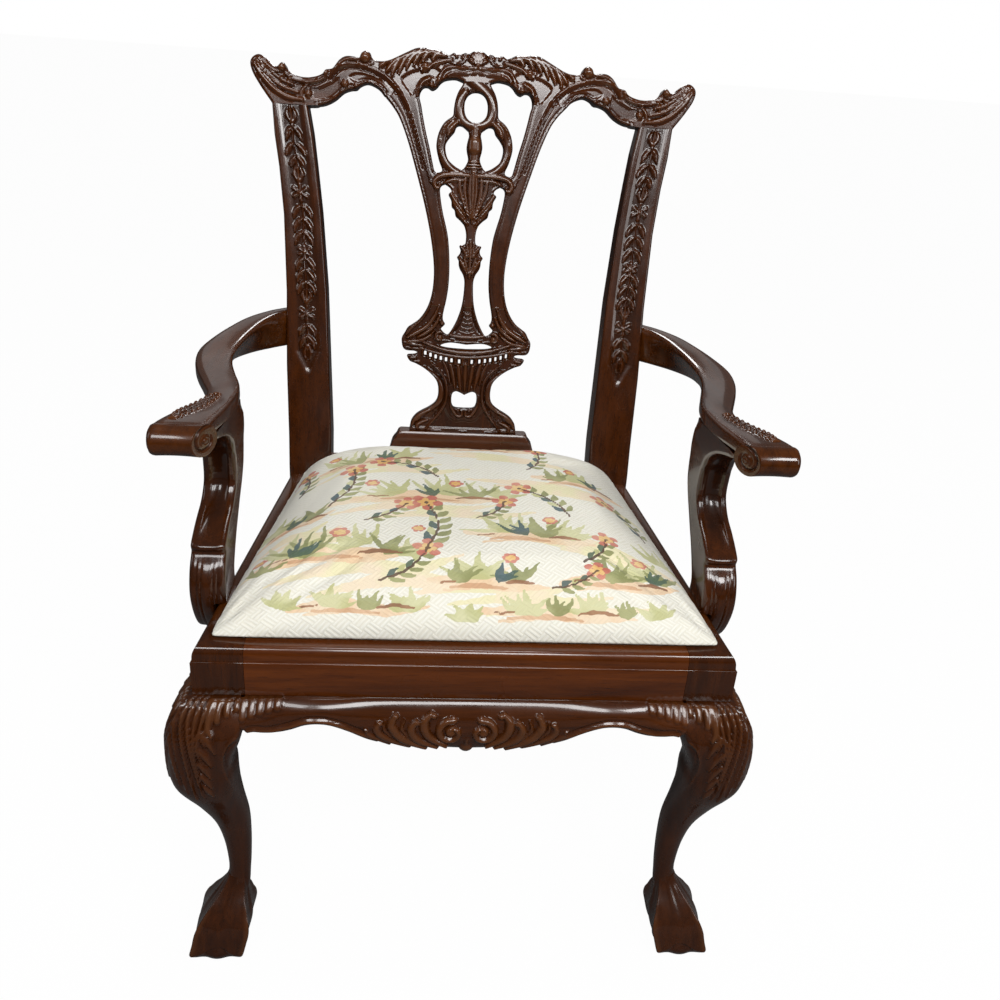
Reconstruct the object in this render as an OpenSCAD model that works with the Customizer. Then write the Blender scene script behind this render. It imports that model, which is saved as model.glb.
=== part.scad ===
// Open armchair in carved mahogany, with a pierced splat, scrolled arms, cabriole front legs on
// ball-and-claw feet and a drop-in seat. Millimetres, +Z up, the sitter faces -Y, and the origin is
// on the floor under the middle of the chair. Left and right are as seen from the front.

/* [Seat frame] */
// Width across the front corners of the seat frame
front_width = 588; // [564:2:612]
// Width across the side rails where they meet the back posts
rear_width = 504; // [490:2:518]
// Front face of the front rail to the front face of the back posts
seat_depth = 440; // [424:2:456]
// Height of the rim round the drop-in seat
rim_height = 445; // [430:1:460]
// Height of the seat rails, moulding included
rail_height = 59; // [55:1:66]
// Thickness of the seat rails
rail_thickness = 38; // [36:1:42]
// Width of the moulding outside the flat rim
moulding_depth = 8; // [6:0.5:10]
// Width of the flat rim that shows round the drop-in seat
rim_width = 16; // [14:0.5:18]
// Depth of the rebate that holds the drop-in seat
rebate_depth = 21; // [19:0.5:24]
// Side of the square block on top of each front leg
leg_block = 55; // [52:1:58]
// Height of the rear rail above the rim, where the shoe stands
rear_rail_rise = 23; // [18:1:28]

/* [Front legs] */
// How far the knee moves out along each axis from the middle of the block
knee_shift = 27; // [22:1:30]
// Height of the fullest part of the knee
knee_height = 306; // [296:1:316]
// Thickness of the leg at the ankle
ankle_width = 26; // [24:1:32]
// Radius of the ball that the claws grip
ball_radius = 33; // [30:1:35]
// How far the sole stands out along each axis from the middle of the block
foot_shift = 22; // [14:0.5:22]
// How far the claws stand out of the ball
claw_stand = 10; // [7:0.5:12]

/* [Back] */
// Overall height, to the top of the crest
overall_height = 1018; // [1000:2:1036]
// How far the back leans for each millimetre of height
back_slope = 0.22; // [0.18:0.01:0.25]
// Depth of the back posts at the seat
post_depth = 46; // [43:1:50]
// Depth of the back posts under the crest rail
post_top_depth = 28; // [26:1:32]
// How far the rear feet stand behind the front face of the back posts at the seat
rear_foot_rake = 60; // [40:2:80]
// Thickness of the crest rail
crest_depth = 27; // [25:1:31]
// Thickness of the splat
splat_depth = 14; // [12:1:18]
// Height of the shoe that holds the foot of the splat
shoe_height = 47; // [44:1:50]
// Depth of the shoe, front to back
shoe_depth = 28; // [27:1:34]

/* [Arms] */
// Height of the top of the arms where they roll over
arm_height = 687; // [675:1:699]
// Radius of the roll at the end of each arm
roll_radius = 15.5; // [13:0.5:17]
// Radius of the round tenon on top of each arm support
arm_tenon_radius = 7; // [6:0.5:8]

/* [Drop-in seat] */
// Height of the pad's crown above the rim
pad_crown = 74; // [60:1:84]
// Gap between the covered seat and the rebate
seat_gap = 1; // [0.6:0.1:2]
// Thickness of the cover
cover_thickness = 1.2; // [0.8:0.1:1.6]
// Width of the rails of the drop-in frame
slip_rail_width = 48; // [44:1:56]
// Thickness of the rails of the drop-in frame
slip_rail_thickness = 16; // [14:0.5:17]
// Width of each band of webbing
web_width = 50; // [44:1:56]
// Thickness of the webbing
web_thickness = 1.2; // [0.8:0.1:1.4]

/* [Joinery] */
// Thickness of the rail tenons
tenon_thickness = 10; // [8:1:12]
// Length of the rail tenons
tenon_length = 22; // [18:1:26]
// Gap all round a tenon in its mortise
fit = 0.2; // [0.1:0.05:0.3]
// Radius of the screws' shanks
screw_radius = 2.5; // [2:0.1:3]
// Radius of the screws' heads
head_radius = 4.5; // [4:0.1:5]
// Length of the corner blocks' screws
block_screw_length = 40; // [36:1:44]
// Length of the screws that hold the arm supports
support_screw_length = 48; // [44:1:52]
// Length of the screws that hold the arms
arm_screw_length = 58; // [54:1:60]

/* [Hidden] */
$fn = 40;
mahogany = "#4a1d0f";
dark_mahogany = "#34130a";
beech = "#b98a58";
steel = "#8f8f92";

// The curved outlines are drawn for a chair of these sizes, and stretch with the real ones
drawn_half_rear = 252;
drawn_seat_depth = 440;
drawn_rail_bottom = 386;
drawn_support_top = 650;

// Places worked out from the sizes above
half_front = front_width / 2;
half_rear = rear_width / 2;
skew = atan((half_front - half_rear) / seat_depth);
rail_bottom = rim_height - rail_height;
ledge_height = rim_height - rebate_depth;
rim_inset = moulding_depth + rim_width;
block_middle = leg_block / 2;
tenon_bottom = rail_bottom + 6;
tenon_height = rail_height - rebate_depth - 12;
bend_height = rim_height + 10;
rake = atan(back_slope);
shoe_bottom = rim_height + rear_rail_rise;
shoe_top = shoe_bottom + shoe_height;
back_spread = half_rear / drawn_half_rear;
deep = seat_depth / drawn_seat_depth;
leg_lift = rail_bottom / drawn_rail_bottom;
knee_share = 0.87;
knee_half = 35.4;
knee_front = knee_share * knee_shift + knee_half - block_middle;
centre_y = (back_y(overall_height) + crest_depth * cos(rake) - knee_front) / 2;
grain_gap = 0.1;
touch = 0.3;

// Front face of the back posts at height z, above the seat
function back_y(z) = seat_depth + back_slope * (z - bend_height);
// Place of height z along the leaning back
function up(z) = (z - bend_height) / cos(rake);
// Outer face of a side rail, moved in by d, at distance y behind the front
function side_x(y, d = 0) = half_front - d / cos(skew) - y * tan(skew);

// Smooth curve through the points p, with n steps from each to the next
function blend4(a, b, c, d, t) = 0.5 * (2 * b + (c - a) * t + (2 * a - 5 * b + 4 * c - d) * t * t
    + (3 * b - a - 3 * c + d) * t * t * t);
function curve(p, n = 3) = [
    for (i = [0 : len(p) - 2]) for (k = [0 : n - 1])
        blend4(p[max(i - 1, 0)], p[i], p[i + 1], p[min(i + 2, len(p) - 1)], k / n),
    p[len(p) - 1]
];
function reversed(p) = [for (i = [len(p) - 1 : -1 : 0]) p[i]];
function mirrored(p) = [for (q = reversed(p)) [-q[0], q[1]]];
// Coordinate on a square with rounded corners: 2 gives a circle, more gives a squarer form
function squarish(t, n) = sign(t) * pow(abs(t), 2 / n);

// Solid skin over a row of rings that all have as many points, each end closed from its middle
function middle(r) = [for (k = [0 : 2]) [for (p = r) p[k]] * [for (p = r) 1] / len(r)];
module loft(rings) {
    n = len(rings[0]);
    last = len(rings) - 1;
    low = n * (last + 1);
    polyhedron(
        points = concat([for (r = rings) each r], [middle(rings[0]), middle(rings[last])]),
        faces = [
            for (k = [0 : last - 1]) for (i = [0 : n - 1]) let (j = (i + 1) % n)
                each [[k * n + i, (k + 1) * n + i, (k + 1) * n + j],
                      [k * n + i, (k + 1) * n + j, k * n + j]],
            for (i = [0 : n - 1]) let (j = (i + 1) % n)
                each [[low, i, j], [low + 1, last * n + j, last * n + i]]
        ]
    );
}

module placed() { translate([0, -centre_y, 0]) children(); }
module left_of() { mirror([1, 0, 0]) children(); }
// Drawing frame of the leaning back: X across, Y up the back, Z forward out of its front face
module on_back() { translate([0, seat_depth, bend_height]) rotate([90 - rake, 0, 0]) children(); }
// Drawing frame of the right side rail: X outward from its face, Y to the back
module on_side() { translate([half_front, 0, 0]) rotate([0, 0, skew]) children(); }
// Outline on the leaning back, cut from a board of this depth
module board(depth, set_back = 0) {
    on_back() translate([0, 0, -set_back - depth]) linear_extrude(depth) children();
}

// ---- Rails -------------------------------------------------------------------------------------

// Section of a seat rail: inward from its face, and up
rail_section = [
    [0, rail_bottom],
    [0, rim_height - 17],
    [1.5, rim_height - 16.5],
    [1.5, rim_height - 14],
    for (a = [0 : 15 : 90]) [moulding_depth - (moulding_depth - 1.5) * cos(a),
                             rim_height - 13 + 13 * sin(a)],
    [rail_thickness, rim_height],
    [rail_thickness, rail_bottom]
];

module rail_bar(length, thickness = rail_thickness) {
    full = [for (p = rail_section) p[0] == rail_thickness ? [thickness, p[1]] : p];
    rotate([90, 0, 90]) linear_extrude(length) polygon(full);
}

// Room for the drop-in seat, above the ledge
module seat_well() {
    back = seat_depth + 1;
    translate([0, 0, ledge_height]) linear_extrude(rebate_depth + 40) polygon([
        [side_x(rim_inset, rim_inset), rim_inset], [side_x(back, rim_inset), back],
        [-side_x(back, rim_inset), back], [-side_x(rim_inset, rim_inset), rim_inset]
    ]);
}

module front_tenon(grow = 0) {
    translate([half_front - leg_block - 1, 14 - grow, tenon_bottom - grow])
        cube([tenon_length + 1 + grow, tenon_thickness + 2 * grow, tenon_height + 2 * grow]);
}

module side_front_tenon(grow = 0) {
    on_side() translate([-14 - tenon_thickness - grow, leg_block - tenon_length - grow,
                         tenon_bottom - grow])
        cube([tenon_thickness + 2 * grow, tenon_length + 5 + grow, tenon_height + 2 * grow]);
}

module side_rear_tenon(grow = 0) {
    on_side() translate([-14 - tenon_thickness - grow, seat_depth / cos(skew) - 2,
                         tenon_bottom - grow])
        cube([tenon_thickness + 2 * grow, tenon_length + grow, tenon_height + 2 * grow]);
}

module rear_tenon(grow = 0) {
    translate([post_inner(rim_height) - 2, seat_depth + 8 - grow, rail_bottom + 16 - grow])
        cube([tenon_length + grow, tenon_thickness + 2 * grow,
              rail_height + rear_rail_rise - 32 + 2 * grow]);
}

module screw_at(place, turn, length, grow = 0) {
    translate(place) rotate(turn) {
        translate([0, 0, -grow]) cylinder(r = screw_radius + grow / 2, h = length + 2 * grow);
        translate([0, 0, grow > 0 ? -30 : 0]) cylinder(r = head_radius + grow,
                                                       h = grow > 0 ? 33 + grow : 3);
    }
}

rear_block_reach = 350;
screw_z = rail_bottom + 17;
support_screw_places = [122, 150];

// The right half's corner block screws: place of the head, and which way each goes
module block_screws(grow = 0) {
    screw_at([half_front - 82, 61, screw_z], [90, 0, 0], block_screw_length, grow);
    screw_at([side_x(92, rail_thickness) - 9, 92, screw_z], [0, 90, 0], block_screw_length - 4,
             grow);
    screw_at([half_front - 129, seat_depth - 34, screw_z], [-90, 0, 0], block_screw_length, grow);
    rear_y = rear_block_reach * deep + 32;
    screw_at([side_x(rear_y, rail_thickness) - 20, rear_y, screw_z], [0, 90, 0],
             block_screw_length, grow);
}

module support_screws_right(grow = 0) {
    for (y = support_screw_places)
        screw_at([side_x(y * deep, rail_thickness) + 5, y * deep, screw_z + 2], [0, 90, 0],
                 support_screw_length, grow);
}

module front_rail() color(mahogany) placed() {
    length = front_width - 2 * leg_block;
    difference() {
        translate([-length / 2, 0, 0]) rail_bar(length);
        seat_well();
        for (s = [0, 1]) mirror([s, 0, 0]) block_screws(fit);
    }
    for (s = [0, 1]) mirror([s, 0, 0]) front_tenon();
}

module side_rail_right() color(mahogany) placed() {
    difference() {
        on_side() rotate([0, 0, 90]) rail_bar(seat_depth + leg_block);
        translate([0, -leg_block, 0]) cube([2 * half_front, 2 * leg_block, rim_height + 1]);
        translate([0, seat_depth, 0]) cube([2 * half_front, seat_depth, rim_height + 1]);
        seat_well();
        block_screws(fit);
        support_screws_right(fit);
    }
    side_front_tenon();
    side_rear_tenon();
}
module side_rail_left() { left_of() side_rail_right(); }

// ---- Front legs --------------------------------------------------------------------------------

// Height, shift of the middle as a share of the knee's, half width, squareness of the knee's
// outward corner, and squareness of the corners that meet the apron and bracket
leg_form = [
    [rail_bottom, 0.21, leg_block / 2 + 5.5, 6, 12],
    [372 * leg_lift, 0.36, 36.5, 4.6, 11],
    [358 * leg_lift, 0.5, 40, 4, 10],
    [335 * leg_lift, 0.69, 40, 3.5, 5],
    [knee_height, knee_share, knee_half, 3, 3.4],
    [knee_height - 21, 0.84, 35.4, 2.8, 2.9],
    [knee_height - 42, 0.74, 32.9, 2.6, 2.6],
    [230 * leg_lift, 0.4, 25.8, 2.4, 2.4],
    [193 * leg_lift, 0.07, 20.2, 2.3, 2.3],
    [157 * leg_lift, -0.07, 16.2, 2.2, 2.2],
    [122 * leg_lift, -0.1, ankle_width / 2 + 0.6, 2.2, 2.2],
    [100 * leg_lift, -0.06, ankle_width / 2, 2.1, 2.1],
    [82 * leg_lift, 0.06, ankle_width / 2 + 2, 2.1, 2.1],
    [66 * leg_lift, 0.3, ankle_width / 2 + 5, 2.1, 2.1]
];
leg_points = 20;

function leg_ring(f) = [
    for (i = [0 : leg_points - 1]) let (
        a = 360 * (i + 0.5) / leg_points, n = cos(a) > 0 && sin(a) < 0 ? f[3] : f[4])
        [half_front - block_middle + f[1] * knee_shift + f[2] * squarish(cos(a), n),
         block_middle - f[1] * knee_shift + f[2] * squarish(sin(a), n), f[0]]
];

// Foot from the ankle over the ball to the floor, which the ball alone touches: height, radius of the skin between the claws,
// how far the claws stand out of it, and the share of the foot's shift
foot_form = [
    [98, ankle_width / 2 - 1, 0.5, 0], [89, ankle_width / 2 + 1, 1.5, 0.1],
    [79, ball_radius - 15.5, 3.5, 0.25], [70, ball_radius - 11.5, 5.5, 0.38],
    [60, ball_radius - 7, claw_stand - 1.5, 0.5], [50, ball_radius - 3, claw_stand + 1, 0.6],
    [38, ball_radius - 0.7, claw_stand + 1.5, 0.72], [24, ball_radius - 1, claw_stand + 2.5, 0.87],
    [13, ball_radius - 2, claw_stand + 3.5, 1], [7, ball_radius - 3, claw_stand + 1, 1],
    [3, ball_radius - 5, 6, 1], [0, ball_radius - 8, 1.5, 1]
];
foot_points = 40;

function foot_ring(f) = [
    for (i = [0 : foot_points - 1]) let (
        a = 360 * i / foot_points, r = f[1] + f[2] * pow(abs(cos(2 * (a - 45))), 5),
        shift = f[3] * foot_shift)
        [half_front - block_middle + shift + r * cos(a), block_middle - shift + r * sin(a), f[0]]
];

module front_leg_right() color(mahogany) placed() {
    difference() {
        union() {
            loft(reversed([for (f = curve(leg_form, 2)) leg_ring(f)]));
            intersection() {
                translate([half_front - leg_block, 0, 0]) rail_bar(leg_block + 1, leg_block);
                on_side() translate([0, -leg_block, 0]) rotate([0, 0, 90])
                    rail_bar(2 * leg_block, leg_block + 20);
            }
            loft(reversed([for (f = curve(foot_form, 2)) foot_ring(f)]));
        }
        seat_well();
        front_tenon(fit);
        side_front_tenon(fit);
    }
}
module front_leg_left() { left_of() front_leg_right(); }

// ---- Apron and knee brackets -------------------------------------------------------------------

apron_end = half_front - leg_block - grain_gap;
// Half of the apron's lower edge: share of its half length, and height
apron_edge = [
    [0, 320], [0.10, 321], [0.19, 323], [0.29, 324], [0.37, 327], [0.45, 333], [0.54, 344],
    [0.62, 352], [0.68, 354], [0.74, 352], [0.80, 346], [0.86, 342], [0.91, 343], [0.96, 346],
    [1, 344]
];

// Swelling of the apron's face where it runs into the knee
function apron_swell(t) = 14 + 12 * pow(max(0, (abs(t) - 0.8) / 0.2), 2);

function apron_ring(t, low) = let (h = rail_bottom - low, s = apron_swell(t)) [
    for (p = [[24, 0], [2, 0], [-s * 0.45, 0.06], [-s * 0.85, 0.22], [-s, 0.45], [-s * 0.92, 0.7],
              [-s * 0.6, 0.9], [-s * 0.2, 1], [24, 1]])
        [t * apron_end, p[0], rail_bottom - p[1] * h]
];

module front_apron() color(mahogany) placed() {
    half = curve(apron_edge, 2);
    whole = concat(mirrored(half), [for (i = [1 : len(half) - 1]) half[i]]);
    loft([for (p = whole) apron_ring(p[0], p[1] * leg_lift)]);
}

module knee_bracket_right() color(mahogany) placed() {
    reach = 78;
    drop = 44;
    edge = curve([[0, -drop], [14, -drop + 3], [30, -drop + 14], [44, -drop + 18],
                  [reach - 8, -14], [reach, -8]], 4);
    difference() {
        on_side() translate([0, leg_block - 3, rail_bottom]) rotate([90, 0, 90])
            translate([0, 0, -26]) linear_extrude(30) polygon(concat(edge, [[reach, 0], [0, 0]]));
        cube([2 * half_front, leg_block + grain_gap, rim_height]);
    }
}
module knee_bracket_left() { left_of() knee_bracket_right(); }

// ---- Back posts --------------------------------------------------------------------------------

// Height, inner side, outer side, share of the way to the full seat depth
post_form = [
    [0, 205, 243], [120, 202, 245], [250, 198, 248], [340, 195, 250],
    [rail_bottom, 192, 250], [bend_height, 190, 250], [bend_height + 45, 190, 250.5],
    [600, 194, 253.5], [700, 198, 253.5], [800, 206, 257], [overall_height - 158, 213, 263],
    [overall_height - 118, 218, 269], [overall_height - 80, 225, 272]
];
post_top = overall_height - 80;

function post_inner(z) = lookup(z, [for (p = post_form) [p[0], p[1]]]) * back_spread;
function post_outer(z) = lookup(z, [for (p = post_form) [p[0], p[2]]]) * back_spread;
// Front face of the post, straight at the rails, raked to the foot and leaning above
function post_front(z) = z >= bend_height ? back_y(z)
    : z >= rail_bottom ? seat_depth
    : seat_depth + rear_foot_rake * pow(1 - z / rail_bottom, 1.6);
function post_thick(z) = z < rail_bottom ? post_depth - 10 * (1 - z / rail_bottom)
    : z <= bend_height ? post_depth
    : post_depth + (post_top_depth - post_depth) * (z - bend_height) / (post_top - bend_height);

function post_ring(z) = let (
    a = post_inner(z), b = post_outer(z), f = post_front(z), r = f + post_thick(z), c = 3)
    [[a + c, f, z], [b - c, f, z], [b, f + c, z], [b, r - c, z],
     [b - c, r, z], [a + c, r, z], [a, r - c, z], [a, f + c, z]];

// Tenon of a post in the crest rail
module crest_tenon(grow = 0) {
    on_back() translate([(post_inner(post_top) + post_outer(post_top)) / 2 - 14 - grow,
                         up(post_top) - 3, -8 - tenon_thickness - grow])
        cube([28 + 2 * grow, tenon_length + 3 + grow, tenon_thickness + 2 * grow]);
}

arm_screw_y = back_y(arm_height - 39) + 20;
arm_screw_z = arm_height - 39;
plug_length = 8;

module arm_screw_right(grow = 0) {
    screw_at([post_inner(arm_screw_z) + plug_length + 2, arm_screw_y, arm_screw_z], [0, 90, 0],
             arm_screw_length, grow);
}

module rear_post_right() color(mahogany) placed() {
    heights = [0, 60, 120, 185, 250, 340, rail_bottom, bend_height, bend_height + 45, 600, 700, 800,
               overall_height - 158, overall_height - 118, post_top];
    difference() {
        loft([for (z = heights) post_ring(z)]);
        side_rear_tenon(fit);
        rear_tenon(fit);
        arm_screw_right(fit);
        on_back() translate([0, up(post_top), -2 * post_depth])
            cube([2 * half_front, post_depth, 3 * post_depth]);
        translate([post_inner(arm_screw_z) - 4, arm_screw_y, arm_screw_z]) rotate([0, 90, 0])
            cylinder(r = head_radius + 1.5, h = plug_length + 4);
    }
    intersection() {
        crest_tenon();
        on_back() translate([0, up(post_top) - 3, -post_depth])
            cube([2 * half_front, tenon_length + 3, post_depth]);
    }
}
module rear_post_left() { left_of() rear_post_right(); }

rear_rail_half = post_inner(bend_height) - grain_gap;

module rear_rail() color(mahogany) placed() {
    ledge = rail_thickness - rim_inset;
    difference() {
        union() {
            translate([-rear_rail_half, 0, 0]) rotate([90, 0, 90])
                linear_extrude(2 * rear_rail_half) polygon([
                [seat_depth - ledge, rail_bottom], [seat_depth + 30, rail_bottom],
                [seat_depth + 30, shoe_bottom], [seat_depth, shoe_bottom],
                [seat_depth, ledge_height], [seat_depth - ledge, ledge_height]
            ]);
            for (s = [0, 1]) mirror([s, 0, 0]) rear_tenon();
        }
        for (s = [0, 1]) mirror([s, 0, 0]) block_screws(fit);
    }
}

// ---- Crest rail, splat and shoe ----------------------------------------------------------------

strap_drop = 61;
ribbon_drop = 38;
strap_top = [77, 124];
ribbon_half = 18;
tongue = 10;
tongue_depth = splat_depth - 4;

// Right half of the crest's top edge: across, and down from the overall height
crest_top = [
    [0, 0], [20, 3], [42, 8], [60, 2], [75, 1], [90, 6], [105, 15], [120, 20], [136, 17],
    [150, 10], [163, 20], [180, 23], [192, 33], [205, 41], [222, 47], [242, 45], [258, 35],
    [269, 37], [287, 23], [300, 33], [292, 53], [282, 68]
];
// Its lower edge from the post to the strap, and from the strap to the ribbon
crest_belly = [
    [225, 80], [205, 78], [190, 71], [178, 61], [162, 55], [145, 48], [132, 53], [124, 61]
];
crest_arch = [
    [77, 61], [76, 54], [68, 47], [60, 50], [49, 41], [40, 36], [27, 35], [18, 38]
];

function hung(p) = [for (q = p) [q[0] * back_spread, up(overall_height - q[1])]];

// Tongues of the splat in the crest
module splat_tongues(grow = 0) {
    board(tongue_depth + 2 * grow, 2 - grow) {
        for (s = [-1, 1])
            translate([s * back_spread * (strap_top[0] + strap_top[1]) / 2,
                       up(overall_height - strap_drop) + tongue / 2 - 1])
                square([34 + 2 * grow, tongue + 2 + 2 * grow], center = true);
        translate([0, up(overall_height - ribbon_drop) + tongue / 2 - 1])
            square([24 + 2 * grow, tongue + 2 + 2 * grow], center = true);
    }
}

module crest_rail() color(mahogany) placed() {
    top = concat(curve(crest_top, 3), [[post_outer(post_top) / back_spread, 80]]);
    low = concat([[post_inner(post_top) / back_spread, 80]], curve(crest_belly, 3),
                 curve(crest_arch, 3));
    half = concat(hung(top), hung(low));
    difference() {
        board(crest_depth) polygon(concat(half, mirrored([for (i = [1 : len(half) - 1]) half[i]])));
        for (s = [0, 1]) mirror([s, 0, 0]) crest_tenon(fit);
        splat_tongues(fit);
    }
}

// The splat is drawn between the shoe and the crest's straps for these heights
splat_low = 515;
splat_high = 957;
function splat_z(z) = shoe_top + (z - splat_low) * (overall_height - strap_drop - shoe_top)
    / (splat_high - splat_low);
function drawn(p) = [for (q = p) [q[0] * back_spread, up(splat_z(q[1]))]];

strap_outer = [
    [124, 957], [102, 930], [90, 900], [77, 860], [65, 820], [55.5, 780], [50, 742], [53, 700],
    [62, 680], [81, 660], [93, 641], [86, 626], [78, 612], [60, 605], [45, 591], [38, 566],
    [46, 551], [65, 540], [76, 528], [78, 515]
];
// Gap between the strap and the knot, from the strap's top round to the ribbon's
upper_gap = [
    [77, 957], [74, 930], [66, 905], [59, 885], [54, 869], [48, 868], [53, 884], [55, 900],
    [50, 920], [38, 933], [29, 938], [32, 950], [27, 963], [18, 972]
];
loop_void = [
    [9, 920], [24, 925], [36, 912], [41, 896], [36, 878], [24, 870], [13, 874], [9, 885], [12, 900]
];
long_void = [
    [40, 850], [46, 842], [38, 800], [31, 765], [28.5, 735], [31, 700], [34, 684], [31, 668],
    [36, 656], [26, 652], [16, 668], [8, 690], [5, 722], [10, 740], [17, 756], [13, 772],
    [5, 784], [8, 800], [22, 814], [27, 832], [34, 842]
];
crescent_void = [[0, 640], [22, 642], [37, 638], [24, 633], [0, 631], [-24, 633], [-37, 638],
                 [-22, 642]];
heart_void = [[0, 568], [6, 571], [12, 573], [17, 570], [18.5, 562], [17, 554], [12, 549.5],
              [0, 549]];
fringe_reach = [13, 27, 41, 55, 68];

function closed(p, n = 3) = let (m = len(p)) [
    for (i = [0 : m - 1]) for (k = [0 : n - 1])
        blend4(p[(i + m - 1) % m], p[i], p[(i + 1) % m], p[(i + 2) % m], k / n)
];

module splat_outline(half) {
    heart = drawn(curve(heart_void, 3));
    difference() {
        polygon(concat(half, mirrored(half)));
        translate([0, up(splat_z(949))]) resize([32, 41 / cos(rake)]) circle(r = 18);
        for (s = [0, 1]) mirror([s, 0]) {
            polygon(drawn(closed(loop_void)));
            polygon(drawn(closed(long_void, 2)));
            for (x = fringe_reach)
                translate([x, up(splat_z(617 + x * x / 500))]) rotate(-x / 4)
                    square([4, 8], center = true);
        }
        polygon(drawn(closed(crescent_void)));
        polygon(concat(heart, mirrored([for (i = [1 : len(heart) - 2]) heart[i]])));
    }
}

module splat() color(mahogany) placed() {
    edge = drawn(curve(strap_outer, 2));
    gap = drawn(curve(upper_gap, 2));
    ribbon = up(overall_height - ribbon_drop) - grain_gap;
    half = concat([[ribbon_half * back_spread, ribbon]], reversed(gap), edge);
    splat_foot();
    difference() {
        board(splat_depth) splat_outline(half);
        translate([-half_front, 0, 0]) cube([2 * half_front, 2 * seat_depth, shoe_top]);
    }
    intersection() {
        splat_tongues();
        union() {
            on_back() translate([-50, up(overall_height - ribbon_drop) - 1, -crest_depth])
                cube([100, 20, crest_depth]);
            on_back() translate([-150, up(overall_height - strap_drop) - 1, -crest_depth])
                cube([300, 12, crest_depth]);
        }
    }
}

// Thin foot of the splat in the shoe
module splat_foot(grow = 0) {
    half = 74 * back_spread + grow;
    board(splat_depth - 6 + 2 * grow, 3 - grow) translate([-half, up(shoe_top - tongue) - grow])
        square([2 * half, tongue + 12]);
}

shoe_half = 108;

module shoe() color(mahogany) placed() {
    front = seat_depth + 0.5;
    difference() {
        intersection() {
            translate([-shoe_half, 0, 0]) rotate([90, 0, 90])
                linear_extrude(2 * shoe_half) polygon(concat(
                [[front + shoe_depth, shoe_bottom], [front + shoe_depth, shoe_top]],
                curve([[front + 9, shoe_top], [front + 6, shoe_top - 8], [front + 5, shoe_top - 20],
                       [front + 2, shoe_top - 30], [front, shoe_bottom + 10],
                       [front, shoe_bottom]], 3)));
            translate([0, seat_depth + 2 * shoe_depth, 0]) rotate([90, 0, 0])
                linear_extrude(3 * shoe_depth) polygon([
                    [-shoe_half, shoe_bottom], [shoe_half, shoe_bottom],
                    [shoe_half - 4, shoe_top - 22], [shoe_half - 11, shoe_top - 10],
                    [shoe_half - 16, shoe_top], [16 - shoe_half, shoe_top],
                    [11 - shoe_half, shoe_top - 10], [4 - shoe_half, shoe_top - 22]]);
        }
        splat_foot(fit);
    }
}

// ---- Arms and their supports -------------------------------------------------------------------

arm_back = back_y(arm_screw_z) + 5;
drawn_arm_back = 488;
// Inner edge across and back, outer edge across and back, drop of the top, height, and how far
// the lower inner edge is cut away, as a share of the width
arm_form = [
    [253.5, 488, 253.5, 521, 14, 50, 0], [266, 470, 280, 501, 15, 49, 0.15],
    [276, 440, 306, 465, 16, 47, 0.45], [284, 400, 324, 420, 18, 42, 0.6],
    [290, 362, 336, 376, 20, 36, 0.45], [293, 328, 341, 335, 21, 30, 0.25],
    [290, 292, 336, 293, 21, 25, 0.1], [280, 250, 324, 250, 20, 22, 0],
    [267, 205, 308, 205, 17.5, 20.5, 0], [261, 165, 295, 165, 14.5, 20, 0],
    [260, 130, 292.5, 130, 11.5, 19, 0], [260, 98, 299, 98, 7.5, 19, 0],
    [262, 62, 309.5, 62, 3, 19, 0], [264, 34, 316, 34, 0.4, 19, 0], [264.5, 20, 316, 20, 0, 15.5, 0]
];
arm_path = curve(arm_form, 2);
arm_points = 16;
drawn_half_front = 294;
drawn_post_outer = 253.5;

function arm_y(y) = y * arm_back / drawn_arm_back;
function arm_x(x, y) = let (t = min(1, y / drawn_arm_back))
    x + (half_front - drawn_half_front) * (1 - t) + (post_outer(arm_screw_z) - drawn_post_outer) * t;
function arm_ring(f) = [
    for (i = [0 : arm_points - 1]) let (
        a = 360 * (i + 0.5) / arm_points,
        u = 0.5 + 0.5 * squarish(cos(a), 5), v = 0.5 - 0.5 * squarish(sin(a), 5),
        w = u + (1 - u) * f[6] * v, y = f[1] + (f[3] - f[1]) * w)
        [arm_x(f[0] + (f[2] - f[0]) * w, y), arm_y(y), arm_height - f[4] - v * f[5]]
];
// Underside of the arm at distance y behind the front
function arm_under(y) = arm_height - lookup(y, [for (f = arm_path) [arm_y(f[1]), f[4] + f[5]]]);
tenon_back = 150;
tenon_across = 277;
tenon_y = tenon_back * deep;
tenon_x = arm_x(tenon_across, tenon_back);
arm_tenon_length = 12;

module arm_right() color(mahogany) placed() {
    difference() {
        union() {
            loft([for (f = arm_path) arm_ring(f)]);
            translate([arm_x(264, 20), arm_y(20), arm_height - roll_radius]) rotate([0, 90, 0])
                cylinder(r = roll_radius, h = 52);
        }
        translate([tenon_x, tenon_y, arm_under(tenon_y) - 5])
            cylinder(r = arm_tenon_radius + fit, h = arm_tenon_length + 5 + fit);
        arm_screw_right(fit);
    }
}
module arm_left() { left_of() arm_right(); }

// Side view of the support: front edge up to the arm, and back edge down again
support_front = [
    [132, 388], [113, 400], [98, 420], [87, 447], [86, 468], [93, 488], [103, 501], [101, 507],
    [103, 513], [128, 529], [150, 541], [165, 562], [158, 593], [145, 610], [131, 625],
    [107, 640], [78, 651], [48, 660]
];
support_back = [
    [207, 649], [213, 606], [216, 579], [210, 558], [190, 520], [171, 497], [156, 479],
    [146, 462], [148, 445], [158, 425], [164, 405], [163, 388]
];
// Front view of the support: inner edge up, outer edge up
support_inner = [[276, 380], [272.5, 450], [272, 513], [270, 545], [267, 592], [263, 625], [262, 680]];
support_outer = [[312, 380], [312, 450], [310, 513], [307, 545], [304, 592], [298, 625], [293, 680]];

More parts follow.
